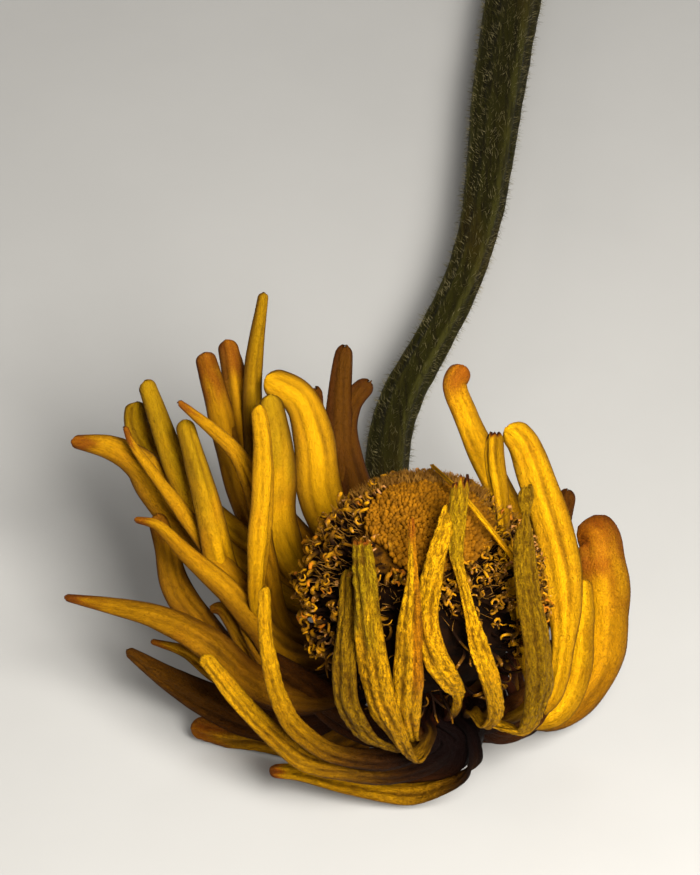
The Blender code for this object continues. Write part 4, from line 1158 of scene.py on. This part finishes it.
def tube(lists, path, radii, sides, reach):
    """Add a closed round tube through a path, with its place from root to tip as a value."""
    rows = []
    turns = [2 * math.pi * j / sides for j in range(sides)]
    for point, radius, (side, normal, tangent) in zip(path, radii, carried_frames(path, TUBE_OUTSIDE)):
        rows.append([point + (side * math.cos(turn) + normal * math.sin(turn)) * radius for turn in turns])
    first = lists.grid(rows)
    lists.values["reach"].extend([value for value in reach for j in range(sides)])
    lists.caps(first + (len(rows) - 1) * sides, first, sides)


def horn_shape(lists, draw):
    """An opened floret seen from its side: a slim curved tube whose mouth hooks over."""
    bend = draw.uniform(1.6, 3.2)
    tall = draw.uniform(3.2, 5.0)
    heading = draw.uniform(-0.2, 0.1)
    path = [upright(-1.2)]
    for share in even(9):
        heading += bend * 0.30 * share * share
        path.append(path[-1] + Vector((math.sin(heading), 0.0, math.cos(heading))) * (tall + 1.2) / 10)
    tube(lists, path, [0.14, 0.17, 0.20, 0.23, 0.26, 0.29, 0.30, 0.28, 0.24, 0.16], 6, even(10))


def curled_shape(lists, draw):
    """An opened floret: a short tube with its lobes rolled back from the mouth into little rings."""
    top = draw.uniform(0.9, 1.9)
    lean = Vector((draw.uniform(-0.6, 0.6), draw.uniform(-0.6, 0.6), 0.0))
    path = [upright(-1.4), lean * 0.3, lean * 0.7 + upright(0.6 * top), lean + upright(top)]
    tube(lists, path, [0.17, 0.20, 0.24, 0.30], 5, [0.0, 0.3, 0.5, 0.7])
    for k in range(draw.choice((2, 3, 3, 4))):
        out = across(2.1 * k + draw.uniform(-0.5, 0.5))
        heading = draw.uniform(-0.2, 0.6)
        curl = draw.uniform(0.75, 1.25)
        lobe = [path[-1] + out * 0.2 - upright(0.25)]
        for j in range(6):
            lobe.append(lobe[-1] + (out * math.sin(heading) + upright(math.cos(heading))) * 0.33)
            heading += curl
            lobe[-1] += Vector((-out.y, out.x, 0.0)) * 0.05 * j
        tube(lists, lobe, [0.13, 0.16, 0.17, 0.17, 0.16, 0.14, 0.08], 4, [0.6, 0.7, 0.8, 0.9, 1.0, 1.0, 1.0])


def strand_shape(lists, draw):
    """A withered strand: a thin tube that wanders and curls at its end."""
    path = [upright(-1.0)]
    heading = Vector((draw.uniform(-0.3, 0.3), draw.uniform(-0.3, 0.3), 1.0))
    swing = Vector((draw.uniform(-1.0, 1.0), draw.uniform(-1.0, 1.0), draw.uniform(-0.6, 0.2)))
    for k in range(9):
        heading = (heading + swing * 0.28).normalized()
        swing.rotate(Matrix.Rotation(draw.uniform(-0.5, 0.9), 3, "Z"))
        path.append(path[-1] + heading * 0.52)
    tube(lists, path, [0.13, 0.15, 0.16, 0.18, 0.20, 0.19, 0.17, 0.15, 0.12, 0.07], 4, even(10))


def strip_shape(lists, draw):
    """A withered strip: a flat thin ribbon that twists and curls over itself at its end."""
    point = upright(-1.0)
    heading = Vector((draw.uniform(-0.4, 0.4), 0.0, 1.0)).normalized()
    side = Vector((0.0, 1.0, 0.0))
    bend = draw.choice((-1.0, 1.0)) * draw.uniform(0.25, 0.5)
    shares = even(14)
    rows = []
    for share in shares:
        wide = 0.30 * (1.0 - 0.55 * share)
        face = heading.cross(side) * 0.07
        rows.append([point - side * wide - face, point + side * wide - face, point + side * wide + face,
                     point - side * wide + face])
        point = point + heading * 0.45
        heading = Matrix.Rotation(bend * (0.2 + 2.1 * share * share), 3, side) @ heading
        side = (Matrix.Rotation(0.16, 3, heading) @ side).normalized()
    first = lists.grid(rows)
    lists.values["reach"].extend([share for share in shares for j in range(4)])
    last = first + (len(rows) - 1) * 4
    lists.faces.append((first + 3, first + 2, first + 1, first))
    lists.faces.append((last, last + 1, last + 2, last + 3))


def bud_shape(lists, draw):
    """An unopened floret: a blunt peg whose closed lobes meet in a low point."""
    lean = Vector((draw.uniform(-0.2, 0.2), draw.uniform(-0.2, 0.2), 0.0))
    path = [lean * max(height, 0.0) + upright(height) for height in (-1.0, 0.1, 0.45, 0.7, 0.86)]
    tube(lists, path, [0.26, 0.31, 0.33, 0.25, 0.07], 5, [0.0, 0.45, 0.75, 0.95, 1.0])


def bristle_shape(lists, draw):
    """A stiff fine bristle of the pappus."""
    bow = draw.uniform(0.0, 0.35)
    path = [upright(-0.6), Vector((0.4 * bow, 0.0, 0.5)), Vector((1.3 * bow, 0.0, 1.2))]
    tube(lists, path, [0.045, 0.04, 0.02], 3, [0.0, 0.5, 1.0])


# Where a shape stands: its root, its aim, how far it is rolled, its number, its two sizes and its tone
Spot = namedtuple("Spot", "root aim roll shape wide tall tone")

# How each kind of opened floret is made, how many shapes it has and how tall it stands
OPENED_KINDS = {"curled": (curled_shape, 9, 1.9), "horn": (horn_shape, 6, 3.4),
                "strand": (strand_shape, 5, 3.2), "strip": (strip_shape, 4, 3.4)}


def floret_shapes(kind, make, count):
    """The shapes of one kind of floret, kept out of the scene."""
    shapes = []
    for number in range(count):
        lists = MeshLists(("reach",))
        make(lists, draws(kind, number))
        obj = lists.build("%s_%02d" % (kind, number), Vector((0.0, 0.0, 0.0)))
        bpy.context.scene.collection.objects.unlink(obj)
        shapes.append(obj)
    return shapes


def seat(name, shapes, spots, material):
    """Stand shapes on spots, each a Spot."""
    group = bpy.data.collections.new(name + "_shapes")
    for obj in shapes:
        group.objects.link(obj)
    mesh = bpy.data.meshes.new(name + "_spots")
    mesh.from_pydata([(spot.root + HEAD_PLACE) * MM for spot in spots], [], [])
    aims = []
    sizes = []
    for spot in spots:
        turned = spot.aim.to_track_quat("Z", "X").to_matrix() @ Matrix.Rotation(spot.roll, 3, "Z")
        aims.extend(turned.to_euler("XYZ"))
        sizes.extend((spot.wide, spot.wide, spot.tall))
    columns = (("aim", "FLOAT_VECTOR", "vector", aims), ("size", "FLOAT_VECTOR", "vector", sizes),
               ("shape", "INT", "value", [spot.shape for spot in spots]),
               ("tone", "FLOAT", "value", [spot.tone for spot in spots]))
    for key, kind, field, values in columns:
        mesh.attributes.new(key, kind, "POINT").data.foreach_set(field, values)
    base = in_scene(name + "_base", mesh)
    tree = bpy.data.node_groups.get("seat_shapes") or seat_tree()
    obj = grow(base, tree, name, Shapes=group, Material=material)
    for spare in [base] + shapes:
        bpy.data.objects.remove(spare, do_unlink=True)
    bpy.data.collections.remove(group)
    return obj


def shaken(direction, draw, amount):
    """A direction with some chance in it."""
    return direction.normalized() + Vector([draw.uniform(-amount, amount) for k in range(3)])


def any_turn(draw):
    """An angle anywhere round a circle."""
    return draw.uniform(0, 2 * math.pi)


def petal_wall():
    """Every petal piece as one tree of faces, to find how much room there is under a petal."""
    points = []
    faces = []
    for obj in bpy.context.scene.objects:
        if obj.name.startswith("petals_"):
            first = len(points)
            points.extend(vertex.co / MM - HEAD_PLACE for vertex in obj.data.vertices)
            faces.extend(tuple(first + k for k in polygon.vertices) for polygon in obj.data.polygons)
    return BVHTree.FromPolygons(points, faces)


def room_under(wall, direction, reach, clearance):
    """How far out a floret may stand in a direction before it would meet a petal."""
    start = BALL_CENTRE + direction * PROBE_START
    hit = wall.ray_cast(start, direction.normalized(), reach + PROBE_PAST - PROBE_START)
    if hit[0] is not None:
        reach = min(reach, PROBE_START + hit[3] / max(direction.length, 0.1) - clearance)
    near = wall.find_nearest(BALL_CENTRE + direction * reach)
    if near[0] is not None and near[3] < clearance:
        reach -= clearance - near[3]
    return reach


def bed_piece(name, bed, material, slot, node):
    """The knobbly bed that florets stand in, nearly black as painted shade between them, a band of the ball,
    with a neck down to the calyx.
    """
    low, high, radius, neck = bed
    lists = MeshLists()
    rows = []
    for i in range(BED_BANDS + 1):
        polar = low + (high - low) * i / BED_BANDS
        row = []
        for j in range(RING_SIDES):
            direction = ball_step(polar, 2 * math.pi * j / RING_SIDES)
            lump = 0.5 * noise.noise(direction * 9.0) + 0.25 * noise.noise(direction * 21.0)
            row.append(BALL_CENTRE + direction * (radius + lump))
        rows.append(row)
    rows.extend(head_ring(*ring) for ring in neck)
    first = lists.grid(rows)
    lists.caps(first, first + (len(rows) - 1) * RING_SIDES, RING_SIDES)
    ready(lists.build(name), material, slot, node)


def mound_edge(around):
    """How far from its top the mound of unopened florets reaches, less far to the left and the front."""
    left = step(0.1, 0.9, -math.cos(around))
    front = step(0.1, 0.9, -math.sin(around))
    return math.radians(35.0 - 9.0 * left - 4.0 * front)


class FloretOperator(bpy.types.Operator):
    """Cover the dome with opened florets, each kept clear of the petals that lean over it"""
    bl_idname = "daisy.florets"
    bl_label = "Disc Florets"

    def execute(self, context):
        count = context.scene.daisy_sizes.floret_count
        colours = context.scene.daisy_colours
        draw = draws("opened")
        wall = petal_wall()
        shapes = []
        numbers = {}
        for kind, (make, many, tall) in OPENED_KINDS.items():
            numbers[kind] = list(range(len(shapes), len(shapes) + many))
            shapes += floret_shapes(kind, make, many)
        top, bottom = (math.cos(edge) for edge in OPENED_BAND)
        spots = []
        for i in range(count):
            rise = top - (i + 0.5) / count * (top - bottom)
            polar = math.acos(rise) + draw.uniform(-0.04, 0.04)
            around = i * GOLDEN + draw.uniform(-0.06, 0.06)
            direction = ball_step(polar, around)
            reach = BALL_RADIUS - OPENED_SUNK - draw.uniform(0.0, OPENED_UNEVEN)
            reach = room_under(wall, direction, reach, FLORET_ROOM)
            left = step(0.1, 0.8, -direction.x)
            low = max(step(0.45, 0.85, -direction.y), step(-0.15, 0.6, -direction.z))
            if reach < LEAST_REACH or polar < mound_edge(around) or draw.random() < 0.75 * low:
                continue
            pick = draw.random()
            if pick < 0.08 + 0.55 * left * (1.0 - low):
                kind = "horn"
            elif pick > 0.95 - 0.8 * low:
                kind = draw.choice(("strand", "strand", "strip"))
            else:
                kind = "curled"
            size = draw.uniform(*OPENED_SIZES)
            aim = shaken(direction, draw, OPENED_STRAY)
            root = BALL_CENTRE + direction * (reach - OPENED_KINDS[kind][2] * size * OPENED_SET)
            # The tone is lowered on the low front florets, painted shade under the petals
            spots.append(Spot(root, aim, any_turn(draw), draw.choice(numbers[kind]), size, size,
                              draw.random() * (1.0 - 0.8 * low)))
        material = floret_material("opened_floret", colours, colours.floret, (0.60, 1.0), 0.65)
        ready(seat("florets_opened", shapes, spots, material), material, "disc_floret", "disc_florets")
        dark = plain_material("floret_bed", colours.bed, colours.floret_dark, 900.0, 0.95)
        bed_piece("floret_bed", OPENED_BED, dark, "disc_floret", "disc_florets")
        return {"FINISHED"}


class MoundOperator(bpy.types.Operator):
    """Close the top of the dome with unopened florets in the spiral that they grow in"""
    bl_idname = "daisy.mound"
    bl_label = "Centre Florets"

    def execute(self, context):
        count = context.scene.daisy_sizes.bud_count
        colours = context.scene.daisy_colours
        draw = draws("mound")
        shapes = floret_shapes("bud", bud_shape, BUD_SHAPES)
        wall = petal_wall()
        spots = []
        for i in range(count):
            polar = MOUND_ANGLE * math.sqrt((i + 0.5) / count)
            direction = ball_step(polar, i * GOLDEN)
            reach = MOUND_RADIUS + 0.4 * math.cos(2.3 * polar) + draw.uniform(-0.12, 0.06)
            reach = room_under(wall, direction, reach, FLORET_ROOM)
            if polar > mound_edge(i * GOLDEN) + math.radians(2.0):
                continue
            size = draw.uniform(*BUD_SIZES) * (0.72 + 0.28 * polar / MOUND_ANGLE)
            aim = shaken(direction, draw, BUD_STRAY)
            shaded = 1.0 - 0.6 * step(0.1, 0.55, direction.x)
            spots.append(Spot(BALL_CENTRE + direction * (reach - BUD_SET), aim, any_turn(draw),
                              draw.randrange(len(shapes)), size, size, draw.uniform(0.2, 0.66) * shaded))
        material = floret_material("unopened_floret", colours, colours.bud, (0.1, 0.7), 0.9)
        ready(seat("florets_centre", shapes, spots, material), material, "centre_floret", "centre_florets")
        dark = plain_material("mound_bed", colours.floret_dark, colours.umber, 900.0, 0.9)
        bed_piece("mound_bed", MOUND_BED, dark, "centre_floret", "centre_florets")
        return {"FINISHED"}


class PappusOperator(bpy.types.Operator):
    """Stand fine pale bristles among the florets, thickest round the far rim of the mound"""
    bl_idname = "daisy.pappus"
    bl_label = "Pappus"

    def execute(self, context):
        count = context.scene.daisy_sizes.bristle_count
        colours = context.scene.daisy_colours
        draw = draws("pappus")
        wall = petal_wall()
        shapes = floret_shapes("bristle", bristle_shape, BRISTLE_SHAPES)
        spots = []
        while len(spots) < count:
            polar = math.radians(draw.uniform(*PAPPUS_BAND))
            direction = ball_step(polar, draw.uniform(0.0, 2 * math.pi))
            far_side = step(0.35, 0.8, direction.y) * step(0.05, 0.4, PAPPUS_EDGE - polar)
            if draw.random() > 0.015 + 0.985 * far_side:
                continue
            reach = room_under(wall, direction, PAPPUS_RADIUS, PAPPUS_ROOM)
            aim = shaken(direction, draw, BRISTLE_STRAY)
            size = draw.uniform(*BRISTLE_SIZES)
            spots.append(Spot(BALL_CENTRE + direction * (reach - BRISTLE_SET), aim, any_turn(draw),
                              draw.randrange(len(shapes)), 1.0, size, draw.random()))
        material = plain_material("pappus_bristle", colours.pappus, colours.pappus_shade, 700.0, 0.7, 0.00003)
        ready(seat("pappus", shapes, spots, material), material, "disc_floret")
        return {"FINISHED"}


# Calyx and stem

def cup_radius(height):
    """The cup's radius at a height from the rim."""
    for (r0, z0), (r1, z1) in zip(CUP_PROFILE, CUP_PROFILE[1:]):
        if height <= z1:
            return r0 + (r1 - r0) * max(height - z0, 0.0) / (z1 - z0)
    return CUP_PROFILE[-1][0]


def add_bract(lists, number, turn, low, high, width):
    """Add one bract: a narrow pointed scale with a raised midrib, which hugs the cup."""
    frame_of_head = head_frame()
    out = across(turn)
    side = Vector((-math.sin(turn), math.cos(turn), 0.0))
    inward = frame_of_head.to_3x3() @ out * BRACT_THICKNESS
    lift = draws("bract", number).uniform(0.15, 0.45)
    rows = []
    for along in even(BRACT_STATIONS):
        height = low + (high - low) * along
        belly = 0.55 + 0.45 * math.sin(math.pi * min(along * 1.4, 1.0))
        wide = width * belly * (1.0 - 0.9 * step(0.45, 1.0, along))
        radius = cup_radius(height) + 0.25 + lift * along ** 2
        row = []
        for j in range(BRACT_COLUMNS):
            u = -1.0 + 2.0 * j / (BRACT_COLUMNS - 1)
            rise = 0.14 * (1.0 - abs(u)) ** 2 - 0.22 * u * u + 0.05 * noise_at(u, 3 * along, number)
            row.append(frame_of_head @ (out * (radius + rise) + side * (0.5 * wide * u) + upright(height)))
        rows.append(row + [point - inward for point in row[::-1]])
    lists.close_sheet(lists.grid(rows), BRACT_STATIONS, BRACT_COLUMNS)


class CalyxOperator(bpy.types.Operator):
    """Wrap the cup under the petals in rows of narrow bracts"""
    bl_idname = "daisy.calyx"
    bl_label = "Calyx"

    def execute(self, context):
        colours = context.scene.daisy_colours
        lists = MeshLists()
        rings = [head_ring(*ring) for ring in [CUP_FOOT] + CUP_PROFILE + CUP_FLOOR]
        first = lists.grid(rings)
        lists.caps(first, first + (len(rings) - 1) * RING_SIDES, RING_SIDES)
        number = 0
        for row, (count, low, high, width) in enumerate(BRACT_ROWS):
            for i in range(count):
                add_bract(lists, number, 2 * math.pi * (i + 0.5 * row) / count, low, high, width)
                number += 1
        material = plain_material("dry_bract", colours.calyx, colours.root, 420.0, 0.7, 0.00012)
        ready(lists.build("calyx_bracts"), material, "calyx", "calyx")
        return {"FINISHED"}


def stem_radius(place):
    """The stem's radius at a place along Y, between the radii at the two listed points round it."""
    places = [y for x, y, z in STEM_POINTS]
    for k in range(len(places) - 1):
        if place <= places[k + 1]:
            share = max(place - places[k], 0.0) / (places[k + 1] - places[k])
            return STEM_RADII[k] + (STEM_RADII[k + 1] - STEM_RADII[k]) * share
    return STEM_RADII[-1]


def stem_curve():
    """The stem's path as a curve whose points carry the stem's radius."""
    path, shares, length = smooth_path([Vector(p) for p in STEM_POINTS], STEM_STATIONS, STEM_CROWD)
    data = bpy.data.curves.new("stem_path", "CURVE")
    data.dimensions = "3D"
    spline = data.splines.new("POLY")
    spline.points.add(len(path) - 1)
    for point, target in zip(path, spline.points):
        target.co = (*((point + HEAD_PLACE) * MM), 1.0)
        target.radius = stem_radius(point.y) * MM
    return in_scene("stem_path", data)


def cut_end(obj):
    """Slant the stem's far end as it was cut, and sink the pith inside its skin."""
    with edited(obj) as bm:
        pith = bm.verts.layers.float.new("pith")
        face = max(bm.faces, key=lambda f: (len(f.verts), f.calc_center_median().y))
        middle = face.calc_center_median()
        for vert in face.verts:
            vert.co.y += CUT_SLANT * (vert.co.x - middle.x)
        for width, depth in CUT_STEPS:
            ring = set(face.verts)
            bmesh.ops.inset_individual(bm, faces=[face], thickness=width * MM, depth=depth * MM)
            for vert in face.verts:
                if vert not in ring or depth:
                    vert[pith] = 1.0
                if depth:
                    vert.co.y += CUT_ROUGHNESS * MM * noise.noise(vert.co * CUT_GRAIN)
        for vert in bm.verts:
            vert.co.z = max(vert.co.z, LEAST_HEIGHT)
        bm.normal_update()


def drop_low(obj):
    """Take out the hairs that would reach through the table's surface."""
    with edited(obj) as bm:
        low = set()
        queue = [vert for vert in bm.verts if vert.co.z < 0.0]
        while queue:
            vert = queue.pop()
            if vert not in low:
                low.add(vert)
                queue.extend(edge.other_vert(vert) for edge in vert.link_edges)
        bmesh.ops.delete(bm, geom=list(low), context="VERTS")


class StemOperator(bpy.types.Operator):
    """Sweep the ridged stem along its path, cut its far end and cover it with fine hairs"""
    bl_idname = "daisy.stem"
    bl_label = "Stem"

    def execute(self, context):
        sizes = context.scene.daisy_sizes
        colours = context.scene.daisy_colours
        material = stem_material(colours)
        path = stem_curve()
        skin = grow(path, sweep_tree(), "stem_skin", Material=material, **STEM_SKIN)
        bpy.data.objects.remove(path, do_unlink=True)
        cut_end(skin)
        hair = plain_material("stem_hair", colours.hair, colours.stem_pale, 500.0, 0.55, 0.00002)
        hairs = grow(skin, hair_tree(), "stem_hairs", Density=sizes.hair_density / MM ** 2,
                     Length=sizes.hair_length, Material=hair, **STEM_HAIR)
        drop_low(hairs)
        ready(skin, material, "stem", "stem")
        ready(hairs, hair, "stem")
        return {"FINISHED"}


# Stage

def soft_light(name, power, width, place, colour):
    """A square area light that faces the head."""
    data = bpy.data.lights.new(name, "AREA")
    data.energy = power
    data.size = width
    data.color = colour
    obj = in_scene(name, data)
    obj.location = place
    head = Vector((HEAD_X, HEAD_Y, LIT_HEIGHT)) * MM
    obj.rotation_euler = (Vector(place) - head).to_track_quat("Z", "Y").to_euler()


def pale_floor(colours):
    """The plain floor, just under the flower."""
    mesh = bpy.data.meshes.new("floor")
    corners = [(x * FLOOR_REACH, y * FLOOR_REACH, -FLOOR_DROP)
               for x, y in ((-1, -1), (1, -1), (1, 1), (-1, 1))]
    mesh.from_pydata(corners, [], [(0, 1, 2, 3)])
    shade = tuple(0.96 * channel for channel in colours.floor)
    mesh.materials.append(plain_material("pale_floor", colours.floor, shade, 18.0, 0.85, 0.00005))
    in_scene("floor", mesh)


def photo_camera():
    """The camera, which looks down on the flower as the photograph does."""
    up = Vector((0.0, math.sin(CAMERA_ELEVATION), math.cos(CAMERA_ELEVATION)))
    back = Vector((0.0, -math.cos(CAMERA_ELEVATION), math.sin(CAMERA_ELEVATION)))
    aim = Vector((HEAD_X - CAMERA_LEFT, HEAD_Y, RIM_HEIGHT)) + up * CAMERA_RISE
    data = bpy.data.cameras.new("camera")
    data.sensor_fit = "VERTICAL"
    data.sensor_height = CAMERA_SENSOR
    data.lens = CAMERA_SENSOR * CAMERA_DISTANCE / CAMERA_SPAN
    data.clip_start = MM
    camera = in_scene("camera", data)
    axes = Matrix((Vector((1.0, 0.0, 0.0)), up, back)).transposed()
    camera.matrix_world = Matrix.Translation((aim + back * CAMERA_DISTANCE) * MM) @ axes.to_4x4()
    return camera


class StageOperator(bpy.types.Operator):
    """Set the pale floor, the soft lights and the camera that looks down on the flower"""
    bl_idname = "daisy.stage"
    bl_label = "Stage"

    def execute(self, context):
        pale_floor(context.scene.daisy_colours)
        for name, light in LIGHTS.items():
            soft_light(name, *light)
        world = bpy.data.worlds.new("studio")
        world.use_nodes = True
        sky = world.node_tree.nodes["Background"].inputs
        sky["Color"].default_value = SKY_COLOUR
        sky["Strength"].default_value = SKY_STRENGTH
        context.scene.world = world
        context.scene.view_settings.view_transform = "Standard"
        context.scene.camera = photo_camera()
        return {"FINISHED"}


class DaisyPanel(bpy.types.Panel):
    bl_idname = "VIEW3D_PT_dried_daisy"
    bl_label = "Dried Daisy"
    bl_space_type = "VIEW_3D"
    bl_region_type = "UI"
    bl_category = "Dried Daisy"

    def draw(self, context):
        for group in (context.scene.daisy_sizes, context.scene.daisy_colours):
            column = self.layout.column()
            for name in group.__annotations__:
                column.prop(group, name)
        for operator in OPERATORS:
            self.layout.operator(operator.bl_idname)


OPERATORS = (StageOperator, PetalOperator, FloretOperator, MoundOperator, PappusOperator, CalyxOperator,
             StemOperator)
CLASSES = (DaisySizes, DaisyColours) + OPERATORS + (DaisyPanel,)


def register():
    for cls in CLASSES:
        bpy.utils.register_class(cls)
    bpy.types.Scene.daisy_sizes = PointerProperty(type=DaisySizes)
    bpy.types.Scene.daisy_colours = PointerProperty(type=DaisyColours)


def unregister():
    del bpy.types.Scene.daisy_colours
    del bpy.types.Scene.daisy_sizes
    for cls in reversed(CLASSES):
        bpy.utils.unregister_class(cls)


def main():
    register()
    for operator in OPERATORS:
        getattr(bpy.ops.daisy, operator.bl_idname.split(".")[1])()


if __name__ == "__main__":
    main()
